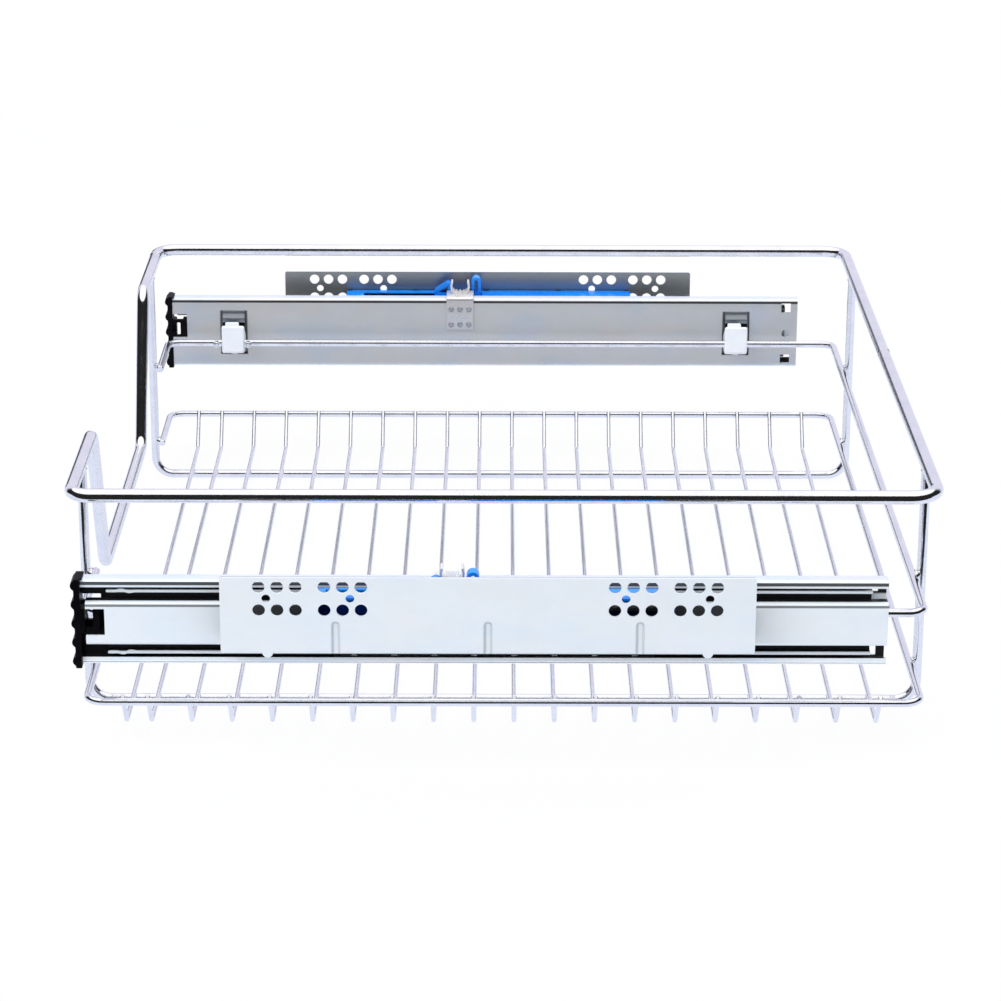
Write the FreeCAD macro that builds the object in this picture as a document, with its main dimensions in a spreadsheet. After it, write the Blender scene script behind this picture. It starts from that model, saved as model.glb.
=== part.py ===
"""Pull-out wire basket on two ball-bearing slides with soft-close units.

Frame: +Z up, X across the cabinet, Y along the travel. The basket pulls out towards -Y.
The origin is below the middle of the basket, on the plane that its two support frames rest on.
Lengths are in millimetres.
"""
import FreeCAD, Part

import math
import os

import Sketcher

# Driving dimensions: alias, value, what it is
SIZES = [
    ("overall_width", 564, "over the outer faces of the two bracket plates"),
    ("basket_gap", 10.2, "between the top rail and the outer channels' webs"),
    ("basket_depth", 440, "over the top rail"),
    ("basket_height", 137, "support frames' underside to the top of the top rail"),
    ("top_rod", 7, "wire diameter of the top rail"),
    ("support_rod", 5, "wire diameter of the two support frames"),
    ("band_rod", 4.4, "wire diameter of the middle side rail"),
    ("edge_rod", 4, "wire diameter of the floor's edge rail"),
    ("floor_rod", 2.5, "wire diameter of the floor wires"),
    ("top_corner_radius", 14, "centre line"),
    ("band_corner_radius", 8, "centre line"),
    ("edge_corner_radius", 9, "centre line"),
    ("support_corner_radius", 11, "centre line"),
    ("dip_corner_radius", 11, "centre line"),
    ("floor_corner_radius", 4, "centre line"),
    ("dip_top_width", 276, "between the corners where the top rail turns down at the front"),
    ("dip_bottom_width", 199, "between the corners of the low front bar"),
    ("dip_drop", 86.4, "from the top rail to the low front bar"),
    ("band_inset", 3, "middle side rail's centre line inside the top rail's outer side"),
    ("band_height", 72.2, "centre line above the ground plane"),
    ("edge_inset", 0.5, "edge rail's centre line inside the top rail's outer side"),
    ("edge_height", 24, "centre line above the ground plane"),
    ("support_inset", 57, "support frames' centre lines inside the top rail's outer side"),
    ("return_overhang", 4, "front returns beyond the support frames' centres"),
    ("floor_wire_count", 20, "wires across the floor"),
    ("front_wire_gap", 17.44, "from the edge rail's front to the first wire"),
    ("first_wire_gap", 14.8, "between the first two wires"),
    ("back_wire_gap", 19.6, "from the last wire to the edge rail's back"),
    ("floor_wire_slope", 52, "degrees by which the wire ends rise"),
    ("floor_wire_end", 1.5, "wire ends beyond their welds"),
    ("weld_gap", 0.05, "between wires that are welded together"),
    ("peg_rod", 4, "diameter of the pegs beside the front clips"),
    ("peg_reach", 3.6, "pegs beyond the middle rail"),
    ("peg_spacing", 20, "between the two pegs of a side"),
    ("slide_height", 45, "outer channel"),
    ("slide_length", 400, "outer channel"),
    ("slide_thickness", 12.7, "outer channel's web to the inner rail's back"),
    ("slide_centre_z", 75.3, "middle of the slides above the ground plane"),
    ("slide_inset", 10, "outer channels' front ends behind the top rail's front"),
    ("channel_gauge", 1.3, "sheet of the outer channel"),
    ("channel_depth", 10, "outer channel across its flanges"),
    ("channel_lip", 4, "lips of the outer channel"),
    ("bend_radius", 1.2, "inside radius of the slide members' bends"),
    ("window_width", 17.2, "clip windows, along the slide"),
    ("window_height", 29, "clip windows"),
    ("window_inset", 39.2, "window centres from the channel's ends"),
    ("notch_depth", 9.2, "front notch for the end cap's tongue"),
    ("notch_height", 15, "front notch for the end cap's tongue"),
    ("notch_rise", 4.4, "middle of the front notch above the slide's middle"),
    ("rear_hole", 5, "diameter of the hole near the channel's rear end"),
    ("rear_inset", 7.3, "rear hole and slots from the channel's rear end"),
    ("rear_slot", 6, "side of the two square slots near the rear end"),
    ("rear_slot_rise", 17, "square slots above and below the slide's middle"),
    ("middle_gauge", 1.2, "sheet of the middle rail"),
    ("middle_setback", 1.8, "from the channel's web to the middle rail's web"),
    ("middle_depth", 6.3, "middle rail across its flanges"),
    ("middle_length", 379.6, "middle rail"),
    ("middle_inset", 12.7, "middle rail's front end behind the channel's"),
    ("inner_gauge", 1.3, "sheet of the inner rail"),
    ("inner_depth", 7.6, "inner rail across its flanges"),
    ("inner_length", 397.5, "inner rail"),
    ("inner_inset", 2.5, "inner rail's front end behind the channel's"),
    ("inner_notch_depth", 9.4, "front notch that clears the end cap's block"),
    ("inner_notch_height", 14, "front notch that clears the end cap's block"),
    ("ball_diameter", 4.5, "slide balls"),
    ("ball_bite", 0.1, "depth to which a ball reaches into a flange's groove"),
    ("ball_play", 0.15, "between a ball and its groove"),
    ("ball_spacing", 20, "along a cage"),
    ("ball_count", 8, "per row"),
    ("outer_ball_setback", 6.2, "outer balls' centres from the channel's outer web face"),
    ("inner_ball_setback", 7.3, "inner balls' centres from the channel's outer web face"),
    ("cage_gauge", 0.8, "ball cage strips"),
    ("cage_spine", 1.5, "width of a cage strip beside its pockets"),
    ("cage_length", 160, "ball cages"),
    ("pocket_play", 0.1, "between a ball and its pocket"),
    ("outer_cage_inset", 125, "outer cage's front end behind the channel's"),
    ("inner_cage_inset", 110, "inner cage's front end behind the channel's"),
    ("bracket_depth", 19.1, "outer face of a bracket plate to the inner rail's back"),
    ("bracket_gauge", 1.5, "sheet of the bracket plate"),
    ("bracket_length", 262, "bracket plate"),
    ("bracket_height", 40.8, "outer wall of the bracket plate"),
    ("bracket_bottom_z", 66.5, "underside of the bracket plate"),
    ("bracket_lip_height", 19.5, "inner wall of the bracket plate"),
    ("bracket_setback", 201.7, "bracket plate's middle behind the channel's front end"),
    ("bracket_bend", 1.5, "inside radius of the bracket plate's bends"),
    ("bracket_corner", 3.2, "radius of the lower corners"),
    ("bracket_top_corner", 1.2, "radius of the upper corners"),
    ("hole_diameter", 6.2, "large screw holes"),
    ("small_hole_diameter", 4.3, "small screw holes"),
    ("hole_columns_pitch", 9, "along the plate, inside a group of holes"),
    ("hole_rows_pitch", 12, "between the two rows of large holes"),
    ("hole_top_margin", 5, "upper row below the plate's top"),
    ("group_pitch", 32, "between the two hole groups of an end"),
    ("group_offset", 87, "middle of an end's groups from the plate's middle"),
    ("outer_small_offset", 108.4, "outer small holes from the plate's middle"),
    ("inner_small_offset", 67.4, "inner small holes from the plate's middle"),
    ("rib_spacing", 74.6, "between the pressed ribs"),
    ("rib_width", 3, "pressed ribs"),
    ("rib_height", 17.5, "pressed ribs"),
    ("rib_press", 0.7, "depth of the pressed ribs"),
    ("foot_tab_offset", 108, "small tabs below the plate, from its middle"),
    ("foot_tab_radius", 2.6, "small tabs below the plate"),
    ("rivet_shank", 4, "diameter"),
    ("rivet_head", 7, "diameter"),
    ("rivet_head_height", 1, "height"),
    ("rivet_play", 0.05, "between a rivet's shank and its hole"),
    ("rivet_offset", 111.5, "middle of a rivet pair from the plate's middle"),
    ("rivet_pitch", 17, "between the two rivets of a pair"),
    ("unit_width", 14.1, "soft-close housing across"),
    ("unit_length", 183, "soft-close housing"),
    ("unit_height", 27.1, "soft-close housing"),
    ("unit_wall", 1.5, "soft-close housing"),
    ("unit_seat", 0.5, "between the housing and the bracket plate, clear of its bend"),
    ("unit_front_inset", 40, "housing's front end behind the bracket plate's"),
    ("catch_travel", 45, "soft-close catch"),
    ("catch_length", 30, "soft-close catch"),
    ("catch_width", 6.8, "catch above the housing"),
    ("catch_play", 0.4, "catch in its slot and housing"),
    ("catch_block", 11.5, "height of the catch inside the housing"),
    ("catch_shoulder", 2.5, "width by which the catch's block hooks under the housing's top"),
    ("catch_base", 1.5, "catch's base above the housing"),
    ("ramp_rise", 7, "catch's ramp above its base"),
    ("ramp_run", 11, "catch's ramp along the slide"),
    ("hook_rise", 9.8, "catch's hook above its base"),
    ("hook_width", 6.2, "catch's hook along the slide"),
    ("hook_wall", 2, "catch's hook and ramp"),
    ("damper_diameter", 8, "damper cylinder"),
    ("damper_bore", 6, "damper cylinder"),
    ("damper_length", 86, "damper cylinder"),
    ("damper_height", 5.6, "damper's axis above the housing's floor"),
    ("damper_cap", 3, "damper cylinder's end walls"),
    ("piston_length", 5, "damper piston"),
    ("piston_play", 0.1, "between the piston and the bore"),
    ("damper_rod", 2.4, "diameter"),
    ("rod_play", 0.08, "between the rod and the cylinder's front wall"),
    ("damper_gap", 4.5, "catch's arm to the damper cylinder at rest"),
    ("catch_arm", 7, "catch's lower arm along the slide"),
    ("spring_diameter", 6, "closing spring, outside"),
    ("spring_wire", 0.8, "closing spring"),
    ("spring_height", 21, "closing spring's axis above the housing's floor"),
    ("spring_seat", 0.1, "between the closing spring's ends and what they press on"),
    ("actuator_gauge", 1.2, "sheet of the actuator bracket"),
    ("actuator_width", 17.3, "along the slide"),
    ("actuator_drop", 20.2, "actuator plate below the channel's top"),
    ("actuator_reach", 16.2, "actuator's top plate out from the channel's web"),
    ("actuator_bend", 1, "inside radius"),
    ("actuator_setback", 184, "actuator's middle behind the channel's front end"),
    ("ear_spacing", 10.2, "between the actuator's two ears"),
    ("ear_height", 10.6, "above the actuator's top plate"),
    ("ear_length", 8, "across"),
    ("bead_radius", 0.8, "three pressed beads on the actuator"),
    ("bead_pitch", 2.6, "three pressed beads on the actuator"),
    ("dimple_diameter", 2.6, "six weld dimples of the actuator plate"),
    ("dimple_depth", 0.5, "six weld dimples of the actuator plate"),
    ("dimple_columns", 5.6, "pitch along the slide"),
    ("dimple_rows", 10, "pitch across the slide"),
    ("dimple_bottom", 3.3, "lower row above the plate's lower edge"),
    ("cap_thickness", 3.1, "end cap along the slide, without its lobes"),
    ("cap_width", 13.4, "end cap across"),
    ("cap_below", 1.2, "end cap below the channel"),
    ("cap_above", 0.8, "end cap above the channel"),
    ("cap_fold", 1.2, "end cap's fold over the channel's top"),
    ("lobe_radius", 2.6, "five lobes of the end cap"),
    ("lobe_pitch", 10, "five lobes of the end cap"),
    ("tongue_play", 0.3, "end cap's tongue in the front notch"),
    ("tongue_bar", 4, "inner bar of the tongue"),
    ("tongue_arm", 3.4, "arms of the tongue"),
    ("tongue_drop", 3.4, "see-through gap above the tongue"),
    ("block_length", 9.4, "end cap's block inside the channel"),
    ("block_height", 12.8, "end cap's block inside the channel"),
    ("block_rise", 1, "block's middle above the slide's middle"),
    ("sleeve_length", 15, "white sleeve along the rail"),
    ("sleeve_height", 18, "white sleeve"),
    ("sleeve_front", 3.3, "white sleeve's face from the rail's centre"),
    ("sleeve_drop", 6.3, "white sleeve's lower edge below the rail's centre"),
    ("sleeve_play", 0.05, "between the rail and its sleeve"),
    ("sleeve_round", 1.2, "sleeve's face edges"),
    ("clip_gauge", 0.8, "spring clip"),
    ("clip_width", 14, "spring clip"),
    ("clip_seat", 0.1, "between the clip and what it holds"),
    ("clip_hook", 3.8, "clip's hook behind the web above the window"),
    ("clip_foot", 4.2, "clip's tip below the window"),
]

# Sizes that follow from those above: alias, formula, what it is
FOLLOWING = [
    ("basket_width", "overall_width - 2 * (bracket_depth + slide_thickness + basket_gap)", "over the top rail"),
    ("band_width", "basket_width - 2 * band_inset", "between the centre lines of the middle rail's sides"),
    ("edge_width", "basket_width - 2 * edge_inset", "between the centre lines of the edge rail's sides"),
    ("support_spacing", "basket_width - 2 * support_inset", "between the two support frames"),
    ("slide_front_y", "slide_inset - basket_depth / 2", "front end of the outer channels"),
    ("bracket_centre_y", "slide_front_y + bracket_setback", "middle of the bracket plate's length"),
]

DOC = FreeCAD.newDocument("WireBasket")
SHEET = DOC.addObject("Spreadsheet::Sheet", "Sizes")
for row, (alias, number, note) in enumerate(SIZES + FOLLOWING, start=1):
    SHEET.set(f"A{row}", f"={number}")
    SHEET.setAlias(f"A{row}", alias)
    SHEET.set(f"B{row}", note)
DOC.recompute()

NODES = []


def bound(expression):
    """Write an expression on the sheet's aliases so that any object can use it."""
    words = expression.replace("(", " ( ").replace(")", " ) ").split()
    return " ".join(f"Sizes.{word}" if word[0].isalpha() else word for word in words)


def val(expression):
    """Return the number that an expression on the sheet's aliases gives."""
    return float(SHEET.evalExpression(bound(expression)))


def vec(x, y, z):
    """Return a vector."""
    return FreeCAD.Vector(x, y, z)


def node(piece, label):
    """Give a piece its label and count it as a sub-part."""
    piece.Label = label
    NODES.append(piece)
    return piece


def feature(label, shape, place=None):
    """Keep a shape made in code as a sub-part, with its placement on the sheet's values."""
    piece = DOC.addObject("Part::Feature", label)
    piece.Shape = shape
    move(piece, place or {})
    return node(piece, label)


def move(piece, place):
    """Bind a piece's position to the sheet, axis by axis."""
    for axis, expression in place.items():
        piece.setExpression(f"Placement.Base.{axis}", bound(expression))


def mirror_piece(piece, label):
    """Make the left-hand twin of a right-hand piece."""
    twin = DOC.addObject("Part::Mirroring", label)
    twin.Source = piece
    twin.Normal = vec(1, 0, 0)
    twin.Base = vec(0, 0, 0)
    return node(twin, label)


def both_sides(piece, name):
    """Name a right-hand piece and make its left-hand twin."""
    node(piece, f"{name}_right")
    return mirror_piece(piece, f"{name}_left")


def new_body(name):
    """Start a body."""
    return DOC.addObject("PartDesign::Body", name)


def sketch_on(body, plane, name, offset="0"):
    """Make a sketch on one of the body's own planes, at a bound distance from it."""
    sketch = body.newObject("Sketcher::SketchObject", name)
    sketch.AttachmentSupport = [(feat, "") for feat in body.Origin.OriginFeatures if feat.Role == plane]
    sketch.MapMode = "FlatFace"
    sketch.setExpression("AttachmentOffset.Base.z", bound(offset))
    return sketch


def draw(sketch, edges):
    """Draw edges in a sketch."""
    for edge in edges:
        sketch.addGeometry(edge, False)


def closed_lines(points):
    """Return the closed outline through points of a sketch."""
    corners = [vec(x, y, 0) for x, y in points]
    return [Part.LineSegment(a, b) for a, b in zip(corners, corners[1:] + corners[:1])]


def rectangle(low_x, low_y, high_x, high_y):
    """Return a rectangle of a sketch."""
    return closed_lines([(low_x, low_y), (high_x, low_y), (high_x, high_y), (low_x, high_y)])


def draw_circles(sketch, centres, diameter):
    """Draw circles whose diameter is bound to the sheet."""
    for x, y in centres:
        index = sketch.addGeometry(Part.Circle(vec(x, y, 0), vec(0, 0, 1), val(diameter) / 2), False)
        constraint = sketch.addConstraint(Sketcher.Constraint("Diameter", index, val(diameter)))
        sketch.setExpression(f"Constraints[{constraint}]", bound(diameter))


def pad(body, sketch, length, towards_plus_y=False):
    """Extrude a sketch by a bound length."""
    step = body.newObject("PartDesign::Pad", f"{sketch.Name}Pad")
    step.Profile = sketch
    step.setExpression("Length", bound(length))
    step.Reversed = towards_plus_y
    sketch.Visibility = False
    return step


def pocket(body, sketch, length, outwards=False):
    """Cut a sketch by a bound length, against the sketch's normal unless outwards is set."""
    step = body.newObject("PartDesign::Pocket", f"{sketch.Name}Pocket")
    step.Profile = sketch
    step.setExpression("Length", bound(length))
    step.Reversed = outwards
    return step


def bent_strip(points, gauge, inside_radius):
    """Return the closed outline of a bent sheet from its centre line in the XZ plane."""
    radius = inside_radius + gauge / 2
    line = [vec(x, z, 0) for x, z in points]
    sides = {1: [], -1: []}
    starts = {side: line[0] + across(line[0], line[1]) * (side * gauge / 2) for side in sides}
    first = dict(starts)
    for before, corner, after in zip(line, line[1:], line[2:]):
        away, onward = (corner - before).normalize(), (after - corner).normalize()
        turn = 1 if away.cross(onward).z > 0 else -1
        reach = radius * math.tan(away.getAngle(onward) / 2)
        bend_in, bend_out = corner - away * reach, corner + onward * reach
        centre = bend_in + across(before, corner) * (turn * radius)
        middle = ((bend_in - centre) + (bend_out - centre)).normalize()
        for side, edges in sides.items():
            own = radius - side * turn * gauge / 2
            arc = [centre + (bend_in - centre) * (own / radius), centre + middle * own,
                   centre + (bend_out - centre) * (own / radius)]
            edges.append(Part.LineSegment(starts[side], arc[0]))
            edges.append(Part.Arc(*arc))
            starts[side] = arc[2]
    for side, edges in sides.items():
        end = line[-1] + across(line[-2], line[-1]) * (side * gauge / 2)
        edges.append(Part.LineSegment(starts[side], end))
        starts[side] = end
    caps = [Part.LineSegment(first[1], first[-1]), Part.LineSegment(starts[1], starts[-1])]
    return sides[1] + sides[-1] + caps


def across(start, end):
    """Return the unit vector to the left of a line in a sketch."""
    run = (end - start).normalize()
    return vec(-run.y, run.x, 0)


def rod_path(points, radius):
    """Return a wire through points with a tangent arc at each inner point."""
    edges = []
    last = points[0]
    for before, corner, after in zip(points, points[1:], points[2:]):
        back, onward = (before - corner).normalize(), (after - corner).normalize()
        half = back.getAngle(onward) / 2
        start = corner + back * (radius / math.tan(half))
        end = corner + onward * (radius / math.tan(half))
        bisector = (back + onward).normalize()
        middle = corner + bisector * (radius / math.sin(half) - radius)
        edges.append(Part.LineSegment(last, start).toShape())
        edges.append(Part.Arc(start, middle, end).toShape())
        last = end
    edges.append(Part.LineSegment(last, points[-1]).toShape())
    return Part.Wire(edges)


def bent_rod(points, radius, diameter):
    """Return a round rod bent along points."""
    path = rod_path(points, radius)
    ring = Part.Wire([Part.makeCircle(diameter / 2, points[0], points[1] - points[0])])
    return path.makePipeShell([ring], True, False)


def with_mirror(half):
    """Join a half to its mirror image across the middle plane, at their shared faces."""
    whole = half.fuse(half.mirror(vec(0, 0, 0), vec(1, 0, 0))).removeSplitter()
    return whole.Solids[0]


# Places that several pieces share
TOP_Z = "basket_height - top_rod / 2"
SIDE_X = "basket_width / 2 - top_rod / 2"
BACK_Y = "basket_depth / 2 - top_rod / 2"
BAND_Y = BACK_Y + " - support_rod / 2 - band_rod / 2 - weld_gap"
EDGE_Y = BACK_Y + " - support_rod / 2 - edge_rod / 2 - weld_gap"
RETURN_X = "support_spacing / 2 - return_overhang"
FLOOR_Z = "support_rod + weld_gap + floor_rod / 2"
BACK_FACE_X = "overall_width / 2 - bracket_depth"
WEB_X = BACK_FACE_X + " - slide_thickness"
CHANNEL_TOP_Z = "slide_centre_z + slide_height / 2"
FRONT_WINDOW_Y = "slide_front_y + window_inset"
REAR_WINDOW_Y = "slide_front_y + slide_length - window_inset"
ACTUATOR_Y = "slide_front_y + actuator_setback"
UNIT_X = BACK_FACE_X + " + bracket_gauge + unit_seat"
UNIT_Y = "bracket_centre_y - bracket_length / 2 + unit_front_inset"
UNIT_Z = "bracket_bottom_z + bracket_gauge + unit_seat"
UNIT_TOP_Z = UNIT_Z + " + unit_height"
CATCH_BACK_Y = ACTUATOR_Y + " + ear_spacing / 2 + actuator_gauge / 2 + unit_wall + hook_width"
CATCH_X = UNIT_X + " + unit_wall + 2 * catch_play"
DAMPER_Y = CATCH_BACK_Y + " + damper_gap"
DAMPER_X = UNIT_X + " + unit_width / 2"
DAMPER_Z = UNIT_Z + " + damper_height"


def make_top_rail():
    """Top rail: a closed loop whose front drops to a low bar."""
    high, low = val(TOP_Z), val(TOP_Z) - val("dip_drop")
    back, side = val(BACK_Y), val(SIDE_X)
    frame = [vec(0, back, high), vec(side, back, high), vec(side, -back, high),
             vec(val("dip_top_width") / 2 + val("dip_corner_radius") * 2, -back, high)]
    dip = [frame[-1], vec(val("dip_top_width") / 2, -back, high),
           vec(val("dip_bottom_width") / 2, -back, low), vec(0, -back, low)]
    loop = bent_rod(frame, val("top_corner_radius"), val("top_rod"))
    drop = bent_rod(dip, val("dip_corner_radius"), val("top_rod"))
    feature("top_rail", with_mirror(loop.fuse(drop).removeSplitter().Solids[0]))


def make_side_rail(label, width, height, reach_y, rod, radius):
    """A rail along both sides and the back, with short returns at the front."""
    side, back, z = val(width) / 2, val(reach_y), val(height)
    half = [vec(0, back, z), vec(side, back, z), vec(side, -back, z), vec(val(RETURN_X), -back, z)]
    feature(label, with_mirror(bent_rod(half, val(radius), val(rod))))


def make_support_frames():
    """Two U-shaped frames from the top rail's front, below the floor, to its back."""
    top = val("basket_height - top_rod - weld_gap")
    low = val("support_rod / 2")
    back = val(BACK_Y)
    points = [vec(0, -back, top), vec(0, -back, low), vec(0, back, low), vec(0, back, top)]
    frame = bent_rod(points, val("support_corner_radius"), val("support_rod"))
    right = DOC.addObject("Part::Feature", "support_frame_right")
    right.Shape = frame
    move(right, {"x": "support_spacing / 2"})
    both_sides(right, "support_frame")


def make_floor_wires():
    """Floor wires: each crosses the floor and rises at both ends to the edge rail's inside."""
    slope = math.radians(val("floor_wire_slope"))
    rise = vec(math.cos(slope), 0, math.sin(slope))
    stand_off = val("edge_rod / 2 + floor_rod / 2 + weld_gap")
    weld = vec(val("edge_width / 2"), 0, val("edge_height")) + vec(-rise.z, 0, rise.x) * stand_off
    low = weld - rise * ((weld.z - val(FLOOR_Z)) / rise.z)
    tip = weld + rise * val("floor_wire_end")
    last = val(EDGE_Y) - val("back_wire_gap")
    second = val("front_wire_gap + first_wire_gap") - val(EDGE_Y)
    gaps = round(val("floor_wire_count")) - 2
    places = [last + (second - last) * step / gaps for step in range(gaps + 1)]
    places.append(second - val("first_wire_gap"))
    half = bent_rod([vec(0, 0, low.z), low, tip], val("floor_corner_radius"), val("floor_rod"))
    wire = with_mirror(half)
    wires = [wire.translated(vec(0, y, 0)) for y in reversed(places)]
    feature("floor_wires", Part.makeCompound(wires))


def make_clip_pegs():
    """Four short pegs on the middle rail, one each side of the two front clips."""
    start = val("band_width / 2 - band_rod / 2 - weld_gap")
    reach = val("peg_reach")
    pegs = []
    for side in (1, -1):
        for step in (-0.5, 0.5):
            y = val(FRONT_WINDOW_Y) + step * val("peg_spacing")
            foot = vec(side * start, y, val("band_height"))
            pegs.append(Part.makeCylinder(val("peg_rod") / 2, reach, foot, vec(-side, 0, 0)))
    feature("clip_pegs", Part.makeCompound(pegs))


def groove_along(body, name, x, z_places, length):
    """Cut ball grooves along a slide member, at x and at plus and minus each height."""
    sketch = sketch_on(body, "XZ_Plane", name)
    centres = [(x, sign * z) for z in z_places for sign in (1, -1)]
    draw_circles(sketch, centres, "ball_diameter + 2 * ball_play")
    return pocket(body, sketch, length, outwards=False)


def ball_heights():
    """Return the heights of the outer and inner balls' centres above the slide's middle."""
    rise = val("ball_diameter / 2 - ball_bite")
    outer = val("slide_height / 2 - channel_gauge") - rise
    inner = outer - 2 * rise - val("middle_gauge")
    return outer, inner


def flange_centres():
    """Return the heights of the middle and inner rails' flange centre lines."""
    rise = val("ball_diameter / 2 - ball_bite")
    outer, inner = ball_heights()
    return outer - rise - val("middle_gauge") / 2, inner - rise - val("inner_gauge") / 2


def make_outer_channel():
    """Outer channel: moves with the basket, with its web towards it."""
    gauge, depth = val("channel_gauge"), val("channel_depth")
    top = val("slide_height") / 2 - gauge / 2
    lip_x, web_x = depth - gauge / 2, gauge / 2
    lip_z = val("slide_height") / 2 - val("channel_lip")
    outline = [(lip_x, lip_z), (lip_x, top), (web_x, top), (web_x, -top), (lip_x, -top), (lip_x, -lip_z)]
    body = new_body("OuterChannel")
    profile = sketch_on(body, "XZ_Plane", "ChannelProfile")
    draw(profile, bent_strip(outline, gauge, val("bend_radius")))
    pad(body, profile, "slide_length", towards_plus_y=True)
    groove_along(body, "ChannelGrooves", val("outer_ball_setback"), [ball_heights()[0]], "slide_length")
    cuts = sketch_on(body, "YZ_Plane", "WebCuts", "channel_gauge * 2")
    half_width, half_height = val("window_width") / 2, val("window_height") / 2
    for y in (val("window_inset"), val("slide_length - window_inset")):
        draw(cuts, rectangle(y - half_width, -half_height, y + half_width, half_height))
    low, high = val("notch_rise - notch_height / 2"), val("notch_rise + notch_height / 2")
    draw(cuts, rectangle(-1, low, val("notch_depth"), high))
    rear, slot = val("slide_length - rear_inset"), val("rear_slot") / 2
    for z in (val("rear_slot_rise"), -val("rear_slot_rise")):
        draw(cuts, rectangle(rear - slot, z - slot, rear + slot, z + slot))
    draw_circles(cuts, [(rear, 0)], "rear_hole")
    pocket(body, cuts, "channel_gauge * 2")
    move(body, {"x": WEB_X, "y": "slide_front_y", "z": "slide_centre_z"})
    both_sides(body, "outer_channel")


def make_middle_rail():
    """Middle rail: runs between the channel and the inner rail on two pairs of ball rows."""
    gauge = val("middle_gauge")
    web_x = val("channel_gauge + middle_setback") + gauge / 2
    tip_x = val("channel_gauge + middle_setback + middle_depth")
    flange = flange_centres()[0]
    outline = [(tip_x, flange), (web_x, flange), (web_x, -flange), (tip_x, -flange)]
    body = new_body("MiddleRail")
    profile = sketch_on(body, "XZ_Plane", "MiddleProfile")
    draw(profile, bent_strip(outline, gauge, val("bend_radius")))
    pad(body, profile, "middle_length", towards_plus_y=True)
    outer, inner = ball_heights()
    groove_along(body, "MiddleOuterGrooves", val("outer_ball_setback"), [outer], "middle_length")
    groove_along(body, "MiddleInnerGrooves", val("inner_ball_setback"), [inner], "middle_length")
    move(body, {"x": WEB_X, "y": "slide_front_y + middle_inset", "z": "slide_centre_z"})
    both_sides(body, "middle_rail")


def make_inner_rail():
    """Inner rail: riveted to the bracket plate, with its web outwards."""
    gauge = val("inner_gauge")
    web_x = val("slide_thickness") - gauge / 2
    tip_x = val("slide_thickness - inner_depth")
    flange = flange_centres()[1]
    outline = [(tip_x, flange), (web_x, flange), (web_x, -flange), (tip_x, -flange)]
    body = new_body("InnerRail")
    profile = sketch_on(body, "XZ_Plane", "InnerProfile")
    draw(profile, bent_strip(outline, gauge, val("bend_radius")))
    pad(body, profile, "inner_length", towards_plus_y=True)
    inner = ball_heights()[1]
    groove_along(body, "InnerGrooves", val("inner_ball_setback"), [inner], "inner_length")
    cuts = sketch_on(body, "YZ_Plane", "InnerCuts", "slide_thickness")
    low = val("block_rise - inner_notch_height / 2")
    draw(cuts, rectangle(-1, low, val("inner_notch_depth"), low + val("inner_notch_height")))
    start = val("slide_front_y + inner_inset")
    draw_circles(cuts, [(y - start, 0) for y in rivet_places()], "rivet_shank + 2 * rivet_play")
    pocket(body, cuts, "inner_gauge * 2")
    move(body, {"x": WEB_X, "y": "slide_front_y + inner_inset", "z": "slide_centre_z"})
    both_sides(body, "inner_rail")


def rivet_places():
    """Return the rivets' places along the slide."""
    middle, offset, half = val("bracket_centre_y"), val("rivet_offset"), val("rivet_pitch") / 2
    return [middle + side * offset + step for side in (-1, 1) for step in (-half, half)]


def make_cage(name, setback, height, spine_side, inset):
    """A pair of ball cage strips, above and below, with an open pocket for each ball."""
    ball, gauge = val("ball_diameter"), val("cage_gauge")
    pocket_radius = ball / 2 + val("pocket_play")
    outer_edge = val(setback) + spine_side * (pocket_radius + val("cage_spine"))
    inner_edge = val(setback) - spine_side * ball / 4
    low_x, high_x = sorted((outer_edge, inner_edge))
    strips, balls = [], []
    places = [val("ball_spacing") * (step + 0.5) for step in range(round(val("ball_count")))]
    for z in (height, -height):
        strip = Part.makeBox(high_x - low_x, val("cage_length"), gauge, vec(low_x, 0, z - gauge / 2))
        spots = [vec(val(setback), y, z - gauge) for y in places]
        holes = [Part.makeCylinder(pocket_radius, 2 * gauge, spot) for spot in spots]
        strips.append(strip.cut(holes).Solids[0])
        balls += [Part.makeSphere(ball / 2, vec(val(setback), y, z)) for y in places]
    place = {"x": WEB_X, "y": f"slide_front_y + {inset}", "z": "slide_centre_z"}
    for part_name, shapes in ((f"{name}_ball_cage", strips), (f"{name}_balls", balls)):
        piece = DOC.addObject("Part::Feature", part_name)
        piece.Shape = Part.makeCompound(shapes)
        move(piece, place)
        both_sides(piece, part_name)


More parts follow.
